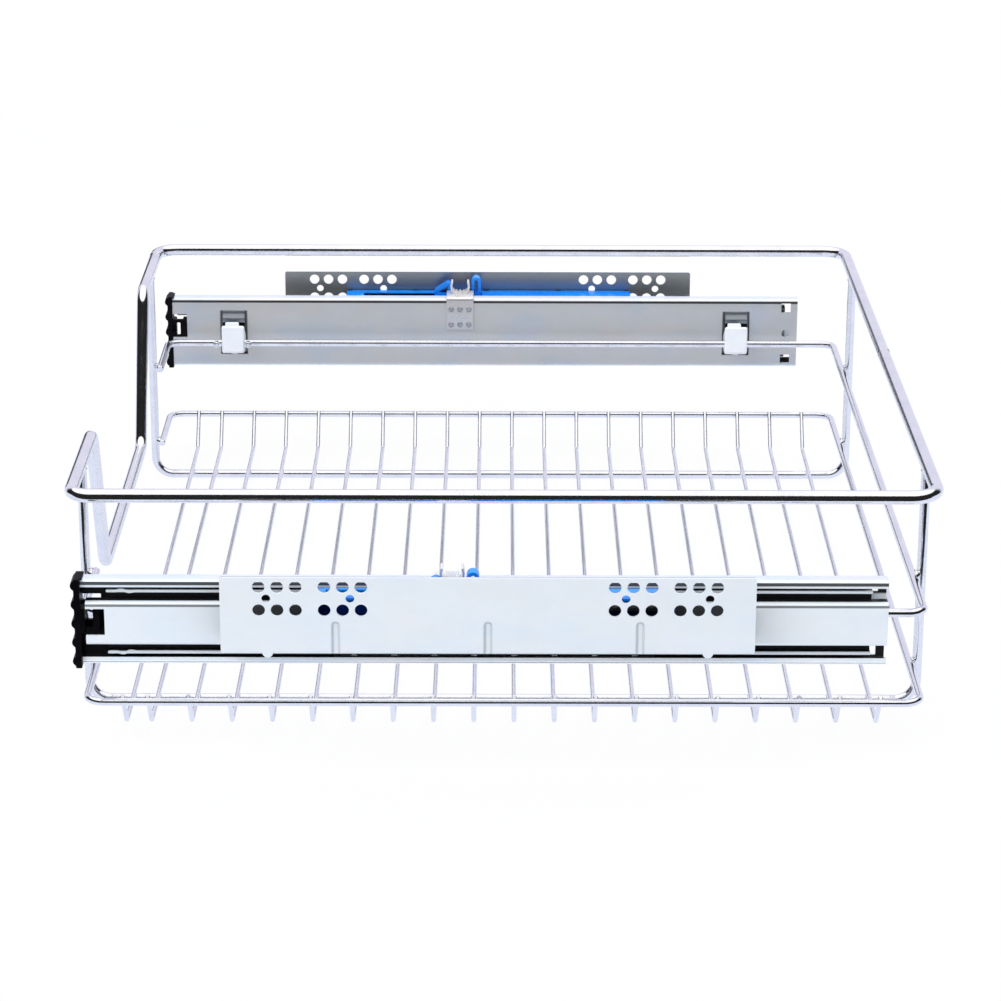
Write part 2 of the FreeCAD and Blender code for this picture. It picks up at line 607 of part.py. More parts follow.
def make_bracket_plate():
    """Bracket plate: a J of sheet steel that screws to the cabinet side and carries the inner rail."""
    gauge, depth = val("bracket_gauge"), val("bracket_depth")
    length, height = val("bracket_length"), val("bracket_height")
    inner_x, outer_x = gauge / 2, depth - gauge / 2
    lip = val("bracket_lip_height")
    outline = [(inner_x, lip), (inner_x, gauge / 2), (outer_x, gauge / 2), (outer_x, height)]
    body = new_body("BracketPlate")
    profile = sketch_on(body, "XZ_Plane", "BracketProfile")
    draw(profile, bent_strip(outline, gauge, val("bracket_bend")))
    pad(body, profile, "bracket_length", towards_plus_y=True)
    corners = sketch_on(body, "YZ_Plane", "BracketCorners", "bracket_depth")
    for y, turn in ((0, 1), (length, -1)):
        draw(corners, corner_cut(y, 0, turn, 1, val("bracket_corner")))
        draw(corners, corner_cut(y, height, turn, -1, val("bracket_top_corner")))
    pocket(body, corners, "bracket_depth")
    holes = sketch_on(body, "YZ_Plane", "ScrewHoles", "bracket_depth")
    large, small = hole_places()
    draw_circles(holes, large, "hole_diameter")
    draw_circles(holes, small, "small_hole_diameter")
    pocket(body, holes, "bracket_gauge * 2")
    rib_tops = sketch_on(body, "YZ_Plane", "PressedRibs", "bracket_depth")
    rib_backs = sketch_on(body, "YZ_Plane", "RibBacks", "bracket_depth - bracket_gauge")
    width = val("rib_width")
    for step in (-1, 0, 1):
        y = length / 2 + step * val("rib_spacing")
        draw(rib_tops, rectangle(y - width / 2, gauge, y + width / 2, val("rib_height")))
        draw(rib_backs, rectangle(y - width / 2, gauge * 2, y + width / 2, val("rib_height")))
    pocket(body, rib_tops, "rib_press")
    inward = pad(body, rib_backs, "rib_press")
    inward.Reversed = True
    tabs = sketch_on(body, "YZ_Plane", "FootTabs", "bracket_depth - bracket_gauge")
    tab_places = [(length / 2 + side * val("foot_tab_offset"), gauge) for side in (-1, 1)]
    draw_circles(tabs, tab_places, "foot_tab_radius * 2")
    pad(body, tabs, "bracket_gauge")
    rivets = sketch_on(body, "YZ_Plane", "RivetHoles", "bracket_gauge")
    rear = val("bracket_centre_y - bracket_length / 2")
    rivet_z = val("slide_centre_z - bracket_bottom_z")
    draw_circles(rivets, [(y - rear, rivet_z) for y in rivet_places()], "rivet_shank + 2 * rivet_play")
    pocket(body, rivets, "bracket_gauge")
    move(body, {"x": BACK_FACE_X, "y": "bracket_centre_y - bracket_length / 2", "z": "bracket_bottom_z"})
    both_sides(body, "bracket_plate")


def corner_cut(y, z, turn_y, turn_z, radius):
    """Return the sliver that rounds a corner of a plate, seen from its side."""
    at_corner = vec(y, z, 0)
    along = vec(y + turn_y * radius, z, 0)
    upward = vec(y, z + turn_z * radius, 0)
    centre = vec(y + turn_y * radius, z + turn_z * radius, 0)
    middle = centre + (at_corner - centre).normalize() * radius
    round_edge = Part.Arc(along, middle, upward)
    return [Part.LineSegment(at_corner, along), round_edge, Part.LineSegment(upward, at_corner)]


def hole_places():
    """Return the large and small screw holes in the bracket plate's own frame."""
    middle, top = val("bracket_length") / 2, val("bracket_height - hole_top_margin")
    rows, columns = val("hole_rows_pitch"), val("hole_columns_pitch")
    large = []
    for side in (-1, 1):
        for group in (-0.5, 0.5):
            y = middle + side * val("group_offset") + group * val("group_pitch")
            large += [(y + step * columns, top - row * rows) for row in (0, 1) for step in (-1, 0, 1)]
    offsets = (val("outer_small_offset"), val("inner_small_offset"))
    small = [(middle + side * offset, top - rows / 2) for offset in offsets for side in (-1, 1)]
    return large, small


def make_rivets():
    """Rivets that hold the inner rail to the bracket plate."""
    shank, head, tall = val("rivet_shank") / 2, val("rivet_head") / 2, val("rivet_head_height")
    low_x, high_x = -val("inner_gauge"), val("bracket_gauge")
    out = vec(1, 0, 0)
    rivets = []
    for y in rivet_places():
        body = Part.makeCylinder(shank, high_x - low_x, vec(low_x, y, 0), out)
        ends = [Part.makeCylinder(head, tall, vec(x, y, 0), out) for x in (low_x - tall, high_x)]
        rivets.append(body.multiFuse(ends).removeSplitter().Solids[0])
    piece = DOC.addObject("Part::Feature", "RailRivets")
    piece.Shape = Part.makeCompound(rivets)
    move(piece, {"x": BACK_FACE_X, "z": "slide_centre_z"})
    both_sides(piece, "rail_rivets")


def box(name, size, place):
    """A box whose three sides and place are bound to the sheet."""
    solid = DOC.addObject("Part::Box", name)
    for side, expression in zip(("Length", "Width", "Height"), size):
        solid.setExpression(side, bound(expression))
    move(solid, dict(zip("xyz", place)))
    return solid


def rod_along_y(name, diameter, length, place):
    """A cylinder along Y whose size and place are bound to the sheet."""
    solid = DOC.addObject("Part::Cylinder", name)
    solid.setExpression("Radius", bound(f"( {diameter} ) / 2"))
    solid.setExpression("Height", bound(length))
    solid.Placement.Rotation = FreeCAD.Rotation(vec(1, 0, 0), -90)
    move(solid, dict(zip("xyz", place)))
    return solid


def boolean(kind, name, base, tools):
    """Cut tools from a base, or fuse them to it."""
    if kind == "Cut":
        tool = tools[0] if len(tools) == 1 else boolean("Fuse", f"{name}Tools", tools[0], tools[1:])
        piece = DOC.addObject("Part::Cut", name)
        piece.Base = base
        piece.Tool = tool
        return piece
    piece = DOC.addObject("Part::MultiFuse", name)
    piece.Shapes = [base] + tools
    piece.Refine = True
    return piece


def make_soft_close_unit():
    """Soft-close housing, its cover, damper and catch."""
    place = (UNIT_X, UNIT_Y, UNIT_Z)
    inside = ("unit_width - 2 * unit_wall", "unit_length - 2 * unit_wall", "unit_height - 2 * unit_wall")
    low = (UNIT_X + " + unit_wall", UNIT_Y + " + unit_wall", UNIT_Z + " + unit_wall")
    shell = box("UnitShell", ("unit_width - unit_wall", "unit_length", "unit_height"), place)
    hollow = box("UnitHollow", ("unit_width",) + inside[1:], low)
    slot_length = "catch_length + catch_travel + 2 * catch_play"
    slot_size = ("catch_width + 2 * catch_play", slot_length, "unit_wall * 3")
    slot_y = CATCH_BACK_Y + " - catch_length - catch_travel - catch_play"
    slot_place = (UNIT_X + " + unit_wall + catch_play", slot_y, UNIT_TOP_Z + " - 2 * unit_wall")
    slot = box("CatchSlot", slot_size, slot_place)
    both_sides(boolean("Cut", "UnitBody", shell, [hollow, slot]), "soft_close_housing")
    cover_place = (UNIT_X + " + unit_width - unit_wall",) + place[1:]
    cover = box("UnitCover", ("unit_wall", "unit_length", "unit_height"), cover_place)
    both_sides(cover, "soft_close_cover")
    make_damper()
    make_catch()
    make_closing_spring()


def make_damper():
    """Damper cylinder, closed at both ends, and its rod and piston."""
    barrel = rod_along_y("DamperBarrel", "damper_diameter", "damper_length", (DAMPER_X, DAMPER_Y, DAMPER_Z))
    bore = rod_along_y("DamperBore", "damper_bore", "damper_length - 2 * damper_cap",
                       (DAMPER_X, DAMPER_Y + " + damper_cap", DAMPER_Z))
    gland = rod_along_y("DamperGland", "damper_rod + 2 * rod_play", "damper_cap * 2",
                        (DAMPER_X, DAMPER_Y + " - damper_cap / 2", DAMPER_Z))
    both_sides(boolean("Cut", "DamperCylinder", barrel, [bore, gland]), "damper_cylinder")
    reach = "damper_gap + damper_length - damper_cap - 2 * piston_play"
    rod = rod_along_y("PistonRod", "damper_rod", reach, (DAMPER_X, CATCH_BACK_Y, DAMPER_Z))
    piston_place = (DAMPER_X, f"{CATCH_BACK_Y} + {reach} - piston_length", DAMPER_Z)
    piston = rod_along_y("Piston", "damper_bore - 2 * piston_play", "piston_length", piston_place)
    both_sides(boolean("Fuse", "DamperRod", rod, [piston]), "damper_rod")


def make_catch():
    """Catch: a block in the housing with a ramp and a hook that stand out of its slot."""
    top = val(UNIT_TOP_Z)
    back = val(CATCH_BACK_Y)
    front = back - val("catch_length")
    base = top + val("catch_play + catch_base")
    wall = val("hook_wall")
    ramp_top = base + val("ramp_rise")
    ramp_y = front + val("ramp_run")
    hook_y, hook_top = back - val("hook_width"), base + val("hook_rise")
    under = top - val("unit_wall * 2")
    body = new_body("Catch")
    crest = sketch_on(body, "YZ_Plane", "CatchCrest", CATCH_X)
    outline = [(front, under), (back, under), (back, hook_top), (hook_y, hook_top), (hook_y, base),
               (ramp_y, base), (ramp_y, ramp_top), (ramp_y - wall / 2, ramp_top), (front, base)]
    draw(crest, closed_lines(outline))
    pad(body, crest, "catch_width")
    opening = sketch_on(body, "YZ_Plane", "HookOpening", CATCH_X + " + catch_width")
    draw(opening, rectangle(hook_y + wall, base, back - wall, hook_top - wall))
    draw(opening, closed_lines([(front + wall * 2, base), (ramp_y - wall * 0.6, base),
                                (ramp_y - wall * 0.6, ramp_top - wall * 1.4)]))
    pocket(body, opening, "catch_width")
    block = sketch_on(body, "YZ_Plane", "CatchBlock", CATCH_X)
    ceiling = top - val("unit_wall + catch_play")
    arm = back - val("catch_arm")
    floor = val(DAMPER_Z) - val("damper_bore") / 2
    step = ceiling - val("catch_block")
    shape = [(front, ceiling), (front, step), (arm, step), (arm, floor), (back, floor), (back, ceiling)]
    draw(block, closed_lines(shape))
    pad(body, block, "catch_width + catch_shoulder")
    both_sides(body, "soft_close_catch")


def make_closing_spring():
    """Closing spring, as a plain tube between the catch and the housing's rear wall."""
    start_y = CATCH_BACK_Y + " + spring_seat"
    length = f"{UNIT_Y} + unit_length - unit_wall - spring_seat - ( {start_y} )"
    place = (DAMPER_X, start_y, UNIT_Z + " + spring_height")
    outside = rod_along_y("SpringOutside", "spring_diameter", length, place)
    inside = rod_along_y("SpringInside", "spring_diameter - 2 * spring_wire", length, place)
    both_sides(boolean("Cut", "ClosingSpring", outside, [inside]), "closing_spring")


def make_actuator():
    """Actuator bracket: folds over the channel's top and drives the catch with two ears."""
    gauge, width = val("actuator_gauge"), val("actuator_width")
    top = gauge / 2
    outline = [(-gauge / 2, -val("actuator_drop")), (-gauge / 2, top), (val("actuator_reach"), top)]
    body = new_body("Actuator")
    profile = sketch_on(body, "XZ_Plane", "ActuatorProfile", "actuator_width / 2")
    draw(profile, bent_strip(outline, gauge, val("actuator_bend")))
    pad(body, profile, "actuator_width", towards_plus_y=True)
    ears = sketch_on(body, "YZ_Plane", "Ears", "actuator_reach - ear_length")
    spread, tall = val("ear_spacing") / 2, val("ear_height")
    for side in (1, -1):
        bow = [(side * (spread - gauge * 1.5), top), (side * spread, top + tall * 0.3),
               (side * (spread + gauge * 0.6), top + tall * 0.7), (side * spread, top + tall)]
        draw(ears, bent_strip(bow, gauge, gauge))
    pad(body, ears, "ear_length")
    beads = sketch_on(body, "YZ_Plane", "Beads", "bead_radius")
    draw_circles(beads, [(step * val("bead_pitch"), gauge) for step in (-1, 0, 1)], "bead_radius * 2")
    pad(body, beads, "actuator_reach - ear_length / 2")
    dimples = sketch_on(body, "YZ_Plane", "WeldDimples", "0 - actuator_gauge")
    low = -val("actuator_drop") + val("dimple_bottom")
    columns, rows = val("dimple_columns"), val("dimple_rows")
    centres = [(step * columns, low + row * rows) for row in (0, 1) for step in (-1, 0, 1)]
    draw_circles(dimples, centres, "dimple_diameter")
    pocket(body, dimples, "dimple_depth", outwards=True)
    move(body, {"x": WEB_X, "y": ACTUATOR_Y, "z": CHANNEL_TOP_Z})
    both_sides(body, "actuator_bracket")


def make_end_cap():
    """End cap: a lobed buffer on the channel's front end, held by a tongue in the web."""
    wide, thick = "cap_width", "cap_thickness"
    cap_y = "slide_front_y - cap_thickness"
    low_z = "slide_centre_z - slide_height / 2 - cap_below"
    cap_x = WEB_X + " - channel_gauge / 2"
    face = box("CapFace", (wide, thick, "slide_height + cap_below + cap_above"), (cap_x, cap_y, low_z))
    fold = box("CapFold", ("channel_depth + channel_gauge", "cap_fold + cap_thickness", "cap_above"),
               (cap_x, cap_y, CHANNEL_TOP_Z))
    block_z = "slide_centre_z + block_rise - block_height / 2"
    block = box("CapBlock", ("slide_thickness - 2 * channel_gauge", "block_length", "block_height"),
                (WEB_X + " + channel_gauge", "slide_front_y", block_z))
    tongue_z = "slide_centre_z + notch_rise - notch_height / 2 + tongue_play"
    tongue_high = "notch_height - tongue_drop - tongue_play"
    tongue_y = "slide_front_y + notch_depth - tongue_play - tongue_bar"
    bar = box("TongueBar", ("channel_gauge * 2", "tongue_bar", tongue_high), (cap_x, tongue_y, tongue_z))
    arm_size = ("channel_gauge * 2", "notch_depth - tongue_play - tongue_bar / 2", "tongue_arm")
    lower_arm = box("TongueLowerArm", arm_size, (cap_x, "slide_front_y", tongue_z))
    upper_z = tongue_z + " + " + tongue_high + " - tongue_arm"
    upper_arm = box("TongueUpperArm", arm_size, (cap_x, "slide_front_y", upper_z))
    lobes = []
    for step in range(-2, 3):
        lobe = DOC.addObject("Part::Cylinder", f"CapLobe{step + 3}")
        lobe.setExpression("Radius", bound("lobe_radius"))
        lobe.setExpression("Height", bound(wide))
        lobe.Placement.Rotation = FreeCAD.Rotation(vec(0, 1, 0), 90)
        lobe_z = f"slide_centre_z + {step} * lobe_pitch"
        move(lobe, {"x": cap_x, "y": cap_y + " + cap_thickness / 3", "z": lobe_z})
        lobes.append(lobe)
    joined = boolean("Fuse", "CapJoined", face, [fold, block, bar, lower_arm, upper_arm] + lobes)
    channel_room = box("CapChannelRoom", ("slide_thickness * 2", "lobe_radius * 2", "slide_height"),
                       (WEB_X + " - slide_thickness / 2", "slide_front_y", "slide_centre_z - slide_height / 2"))
    keep = boolean("Fuse", "CapKeep", block, [bar, lower_arm, upper_arm])
    spare = boolean("Cut", "CapSpare", channel_room, [keep])
    both_sides(boolean("Cut", "EndCap", joined, [spare]), "end_cap")


def sleeve_shape():
    """White sleeve around the middle rail, at the rail's centre and the window's middle."""
    length, height, drop = val("sleeve_length"), val("sleeve_height"), val("sleeve_drop")
    front = -val("sleeve_front")
    clip_room = val("channel_gauge + clip_gauge + 3 * clip_seat")
    back = val(WEB_X) - val("band_width / 2") - clip_room
    block = Part.makeBox(back - front, length, height, vec(front, -length / 2, -drop))
    face_edges = [edge for edge in block.Edges if edge.BoundBox.XMax < front + 0.01]
    block = block.makeFillet(val("sleeve_round"), face_edges)
    hole = Part.makeCylinder(val("band_rod / 2 + sleeve_play"), length * 2, vec(0, -length, 0), vec(0, 1, 0))
    return block.cut(hole).Solids[0]


def clip_shape():
    """Spring clip: hooks behind the web above a window, backs the sleeve and ends in a pointed tip."""
    gauge, seat, width = val("clip_gauge"), val("clip_seat"), val("clip_width")
    window = val("window_height") / 2
    inside = val("channel_gauge") + seat + gauge / 2
    outside = -seat - gauge / 2
    backing = outside - val("channel_gauge") - seat
    line = [(inside, window + val("clip_hook")), (inside, window - 2 * gauge),
            (backing, window - 6 * gauge), (backing, -window + 8 * gauge),
            (outside, -window + 2 * gauge), (outside, -window - val("clip_foot"))]
    profile = [edge.toShape() for edge in bent_strip(line, gauge, gauge)]
    face = Part.Face(Part.Wire(Part.__sortEdges__(profile)))
    face.rotate(vec(0, 0, 0), vec(1, 0, 0), 90)
    face.translate(vec(0, width / 2, 0))
    strip = face.extrude(vec(0, -width, 0))
    high, low = line[0][1] + gauge, line[-1][1] - gauge
    shoulder = -window + gauge
    outline = [(-width, high), (width, high), (width, shoulder), (width / 2, shoulder),
               (gauge * 1.5, low + gauge), (-gauge * 1.5, low + gauge),
               (-width / 2, shoulder), (-width, shoulder)]
    stencil = Part.Face(Part.makePolygon([vec(-width, y, z) for y, z in outline + outline[:1]]))
    return strip.common(stencil.extrude(vec(2 * width, 0, 0))).Solids[0]


def make_clips():
    """Sleeves and spring clips at the front and rear windows of each channel."""
    sleeve, clip = sleeve_shape(), clip_shape()
    places = (val(FRONT_WINDOW_Y), val(REAR_WINDOW_Y))
    at_rail = {"x": "band_width / 2", "z": "band_height"}
    at_web = {"x": WEB_X, "z": "slide_centre_z"}
    for name, shape, place in (("rail_sleeves", sleeve, at_rail), ("spring_clips", clip, at_web)):
        piece = DOC.addObject("Part::Feature", name)
        piece.Shape = Part.makeCompound([shape.translated(vec(0, y, 0)) for y in places])
        move(piece, place)
        both_sides(piece, name)


def check_and_write():
    """Stop on any failed object or shape, and then write each sub-part's STEP file."""
    DOC.recompute()
    failed = [item.Label for item in DOC.Objects if "Invalid" in item.State or "Error" in item.State]
    failed += [piece.Label for piece in NODES if piece.Shape.isNull() or not piece.Shape.isValid()]
    if failed:
        raise RuntimeError(f"failed: {', '.join(failed)}")
    os.makedirs("parts", exist_ok=True)
    for piece in NODES:
        piece.Shape.exportStep(f"parts/{piece.Label}.step")
        print(piece.Label, len(piece.Shape.Solids), "solids", round(piece.Shape.Volume), "mm3")


make_top_rail()
make_side_rail("middle_side_rail", "band_width", "band_height", BAND_Y, "band_rod", "band_corner_radius")
make_side_rail("floor_edge_rail", "edge_width", "edge_height", EDGE_Y, "edge_rod", "edge_corner_radius")
make_support_frames()
make_floor_wires()
make_clip_pegs()
make_outer_channel()
make_middle_rail()
make_inner_rail()
make_cage("outer", "outer_ball_setback", ball_heights()[0], -1, "outer_cage_inset")
make_cage("inner", "inner_ball_setback", ball_heights()[1], 1, "inner_cage_inset")
make_bracket_plate()
make_rivets()
make_soft_close_unit()
make_actuator()
make_end_cap()
make_clips()
check_and_write()
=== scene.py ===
import math

import bmesh
import bpy
from mathutils import Matrix, Vector


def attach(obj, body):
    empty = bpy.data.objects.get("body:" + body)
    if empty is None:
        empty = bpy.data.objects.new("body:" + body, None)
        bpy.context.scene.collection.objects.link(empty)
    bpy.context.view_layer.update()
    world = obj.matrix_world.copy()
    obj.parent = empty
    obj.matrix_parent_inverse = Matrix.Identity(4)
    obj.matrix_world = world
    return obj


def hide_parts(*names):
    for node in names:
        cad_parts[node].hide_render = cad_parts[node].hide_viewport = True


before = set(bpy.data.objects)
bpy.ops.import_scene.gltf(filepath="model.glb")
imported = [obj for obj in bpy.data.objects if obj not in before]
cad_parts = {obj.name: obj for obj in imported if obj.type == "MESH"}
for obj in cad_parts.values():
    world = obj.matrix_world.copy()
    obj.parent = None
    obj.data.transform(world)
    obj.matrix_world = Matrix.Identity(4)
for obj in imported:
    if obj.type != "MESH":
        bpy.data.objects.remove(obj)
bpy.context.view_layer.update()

scene = bpy.context.scene
mm = 0.001


class Flow:
    # a socket that can be added, multiplied and so on
    def __init__(self, graph, socket):
        self.graph, self.socket = graph, socket

    def maths(self, operation, *values):
        return self.graph.add("ShaderNodeMath", {"operation": operation}, dict(enumerate(values)))

    def __add__(self, other):
        return self.maths("ADD", self, other)

    def __sub__(self, other):
        return self.maths("SUBTRACT", self, other)

    def __rsub__(self, other):
        return self.maths("SUBTRACT", other, self)

    def __mul__(self, other):
        return self.maths("MULTIPLY", self, other)

    def __abs__(self):
        return self.maths("ABSOLUTE", self)

    __radd__, __rmul__ = __add__, __mul__

    def smaller(self, other):
        return self.maths("MINIMUM", self, other)

    def larger(self, other):
        return self.maths("MAXIMUM", self, other)

    def above(self, edge, width):
        # 0 below the edge, 1 above it, with a soft step as wide as given
        return self.graph.add("ShaderNodeMapRange", {"interpolation_type": "SMOOTHSTEP"},
                              {"Value": self, "From Min": edge - width / 2, "From Max": edge + width / 2})

    def between(self, low, high, width):
        return self.above(low, width) * (1 - self.above(high, width))


class Graph:
    # the nodes of one material or world
    def __init__(self, owner):
        owner.use_nodes = True
        self.owner, self.tree = owner, owner.node_tree
        self.tree.nodes.clear()

    def add(self, kind, settings=None, values=None, out=0):
        node = self.tree.nodes.new(kind)
        for name, value in (settings or {}).items():
            setattr(node, name, value)
        for name, value in (values or {}).items():
            if isinstance(value, Flow):
                self.tree.links.new(value.socket, node.inputs[name])
            else:
                node.inputs[name].default_value = value
        return Flow(self, node.outputs[out]) if node.outputs else node

    def outputs(self, kind, names, values=None):
        # several outputs of one node
        node = self.add(kind, {}, values).socket.node
        return [Flow(self, node.outputs[name]) for name in names]

    def axes(self, source="Object"):
        # x, y and z of the place on the surface, in metres, or of the direction in which the world is seen
        coordinates = self.add("ShaderNodeTexCoord", out=source)
        return self.outputs("ShaderNodeSeparateXYZ", "XYZ", {"Vector": coordinates})

    def rays(self, *kinds):
        # 1 for rays of each kind
        return self.outputs("ShaderNodeLightPath", [f"Is {kind} Ray" for kind in kinds])

    def noise(self, scale, detail=3.0, roughness=0.55, stretch=(1, 1, 1)):
        # clouds in metres; a stretch below 1 draws them out along that axis
        coordinates = self.add("ShaderNodeTexCoord", out="Object")
        place = self.add("ShaderNodeMapping", {}, {"Vector": coordinates, "Scale": stretch})
        return self.add("ShaderNodeTexNoise", {}, {"Vector": place, "Scale": scale, "Detail": detail,
                                                   "Roughness": roughness})

    def blend(self, factor, first, second):
        return self.add("ShaderNodeMix", {"data_type": "RGBA"}, {0: factor, 6: first, 7: second}, out=2)

    def shade(self, colour, amount):
        # a colour made darker or lighter by a value
        return self.add("ShaderNodeVectorMath", {"operation": "SCALE"}, {0: colour, "Scale": amount})

    def tinted(self, colour, amount, tint):
        # a colour multiplied by a tint, as strongly as amount says
        return self.add("ShaderNodeMix", {"data_type": "RGBA", "blend_type": "MULTIPLY"},
                        {0: amount, 6: colour, 7: tint}, out=2)

    def bump(self, height, strength, depth):
        return self.add("ShaderNodeBump", {}, {"Height": height, "Strength": strength, "Distance": depth})

    def surface(self, values):
        shader = self.add("ShaderNodeBsdfPrincipled", {}, values)
        self.add("ShaderNodeOutputMaterial", {}, {"Surface": shader})
        return self.owner


def newGraph(label):
    return Graph(bpy.data.materials.new(label))


def rgb(red, green, blue):
    return (red, green, blue, 1.0)


def chromeWire():
    # nickel-chrome plated wire: a bright skin over drawn steel, with a thin grey bloom and a fine grain
    look = {"clean": rgb(0.94, 0.94, 0.96), "bloom": rgb(0.76, 0.76, 0.85), "bloomAmount": 0.75,
            "bloomScale": 60, "bloomMix": (0.35, 0.65), "bloomEdge": (0.53, 0.22),
            "gloss": 0.05, "haze": 0.07, "grainHaze": 0.05, "grainScale": 1300, "rippleScale": 420,
            "ripple": 0.08, "grain": 0.10, "relief": 0.35, "depth": 0.4 * mm}
    graph = newGraph("chromeWire")
    ripple = graph.noise(look["rippleScale"], 3.0, 0.6)
    grain = graph.noise(look["grainScale"], 3.0, 0.7)
    clouds, grains = look["bloomMix"]
    bloom = (graph.noise(look["bloomScale"], 2.0, 0.5) * clouds + grain * grains).above(*look["bloomEdge"])
    height = ripple * look["ripple"] + grain * look["grain"]
    return graph.surface({
        "Base Color": graph.blend(bloom * look["bloomAmount"], look["clean"], look["bloom"]),
        "Metallic": 1.0,
        "Roughness": bloom * look["haze"] + grain * look["grainHaze"] + look["gloss"],
        "Normal": graph.bump(height, look["relief"], look["depth"])})


slideMiddle = 75.3  # height of the middle line of both slides, in mm
# how softly each painted face of the steel sheets ends
softness = {"side": 0.1 * mm, "creaseShade": 0.4 * mm, "top": 0.3 * mm, "foot": 0.8 * mm, "inside": 1.2 * mm,
            "end": 1.5 * mm, "wallIn": 0.3 * mm, "wallOut": 0.4 * mm}


def ribDistance(y, z, ribs):
    # distance from the middle line of the nearest pressed rib
    offset = abs(y - ribs["middleY"] * mm)
    sideways = offset.smaller(abs(offset - ribs["spacing"] * mm))
    above = (z - ribs["topZ"] * mm).larger(0.0)
    squares = sideways * sideways + above * above
    return squares.maths("SQRT", squares)


def insideMask(look, across, y, rise):
    # 1 on the faces inside a rolled section that take painted shadow: between two distances from the middle
    # plane and, where
    # they are given, between two distances from the slide's middle line. In front of endY the first of those
    # doesn't count
    lowX, highX = look["insideX"]
    mask = across.between(lowX * mm, highX * mm, softness["side"])
    if "insideZ" in look:
        lowZ, highZ = look["insideZ"]
        fromMiddle = abs(rise)
        shadowed = fromMiddle.above(lowZ * mm, softness["inside"])
        if "endY" in look:
            shadowed = shadowed.larger(1 - y.above(look["endY"] * mm, softness["end"]))
        mask = mask * shadowed * (1 - fromMiddle.above(highZ * mm, softness["side"]))
    return mask


sheetSkin = {
    # noise: scale, detail, roughness and stretch
    "cloud": (75, 5.0, 0.62, (1, 0.6, 1)), "tint": (48, 3.0, 0.5, (1, 0.45, 1)),
    "line": (900, 3.0, 0.6, (1, 0.12, 1)), "speck": (1500, 2.0, 0.7),
    # where each pattern begins, and how softly
    "cloudEdge": (0.5, 0.45), "tintEdge": (0.58, 0.12), "roseEdge": (0.63, 0.10), "speckEdge": (0.70, 0.10),
    "blue": rgb(0.88, 0.97, 1.08), "warm": rgb(1.06, 0.99, 0.93), "rose": rgb(1.03, 0.95, 1.02),
    "lineRelief": 0.5, "cloudRelief": 0.5, "speckRelief": 0.25, "depth": 0.3 * mm, "rough": 0.08,
}


def steelSheet(label, look):
    # zinc-plated strip: faintly clouded, with blue and warm passivation and rolling lines. Its side towards
    # the basket, closer in than the given x, is painted darker as painted shade, and inside it is painted near
    # black as painted shadow
    graph, skin = newGraph(label), sheetSkin
    x, y, z = graph.axes()
    across, rise = abs(x), z - slideMiddle * mm
    cloud, tint, lines, specks = (graph.noise(*skin[name]) for name in ("cloud", "tint", "line", "speck"))
    outside = across.above(look["shadedSideX"] * mm, softness["side"])
    # painted shade: the side towards the basket takes a darker colour
    tone = graph.blend(outside, look["shadedSide"], look["bright"])
    tone = graph.shade(tone, cloud.above(*skin["cloudEdge"]) * look["clouds"] + (1 - look["clouds"]))
    tone = graph.tinted(tone, tint.above(*skin["tintEdge"]) * look["tints"], skin["blue"])
    tone = graph.tinted(tone, (1 - tint).above(*skin["tintEdge"]) * look["tints"], skin["warm"])
    tone = graph.tinted(tone, cloud.above(*skin["roseEdge"]) * look["tints"], skin["rose"])
    tone = graph.shade(tone, 1 - specks.above(*skin["speckEdge"]) * look["specks"])
    # painted shade: a darker line along the crease
    if "creaseShade" in look:
        lowZ, highZ, depth = look["creaseShade"]
        tone = graph.shade(tone, 1 - rise.between(lowZ * mm, highZ * mm, softness["creaseShade"]) * depth)
    # painted shade: the top face is painted darker and lavender
    if "top" in look:
        topZ, topShadeTint = look["top"]
        tone = graph.tinted(tone, rise.above(topZ * mm, softness["top"]), topShadeTint)
    # painted light: the bottom bend is painted lighter
    if "foot" in look:
        footZ, footLightGain = look["foot"]
        tone = graph.shade(tone, (1 - rise.above(footZ * mm, softness["foot"])) * footLightGain + 1)
    height = lines * skin["lineRelief"] + cloud * skin["cloudRelief"] + specks * skin["speckRelief"]
    relief = graph.bump(height, look["relief"], skin["depth"])
    if "ribs" in look:
        ribs = look["ribs"]
        distance = ribDistance(y, z, ribs)
        edge, soft = ribs["halfWidth"] * mm, ribs["soft"] * mm
        wallIn = distance.above(edge - soft * ribs["wallIn"], softness["wallIn"])
        wallOut = distance.above(edge + soft * ribs["wallOut"], softness["wallOut"])
        # painted shade: the rib walls are painted darker; the bump below gives the ribs their rounding
        tone = graph.shade(tone, 1 - wallIn * (1 - wallOut) * ribs["shade"])
        relief = graph.add("ShaderNodeBump", {}, {
            "Height": distance.above(edge, soft), "Strength": ribs["relief"], "Distance": ribs["depth"] * mm,
            "Normal": relief})
    # painted shadow: the faces inside the rolled section are painted near black
    if "inside" in look:
        tone = graph.blend(insideMask(look, across, y, rise), tone, look["inside"])
    (innerShine, outerShine), (innerRough, outerRough) = look["metallic"], look["roughness"]
    return graph.surface({
        "Base Color": tone,
        "Metallic": outside * (outerShine - innerShine) + innerShine,
        "Roughness": outside * (outerRough - innerRough) + (cloud + lines) * skin["rough"] + innerRough,
        "Normal": relief})


steelSkin = {"wear": (4.0, 0.6), "scratch": (2.0, 0.6, (1, 0.2, 1)), "scratchScale": 6, "worn": 0.72,
             "wearEdge": (0.55, 0.3), "wearRough": 0.15, "scratchRough": 0.10, "scratchRelief": 0.6,
             "wearRelief": 0.4, "relief": 0.2, "depth": 0.3 * mm, "bandSoft": 0.5 * mm}


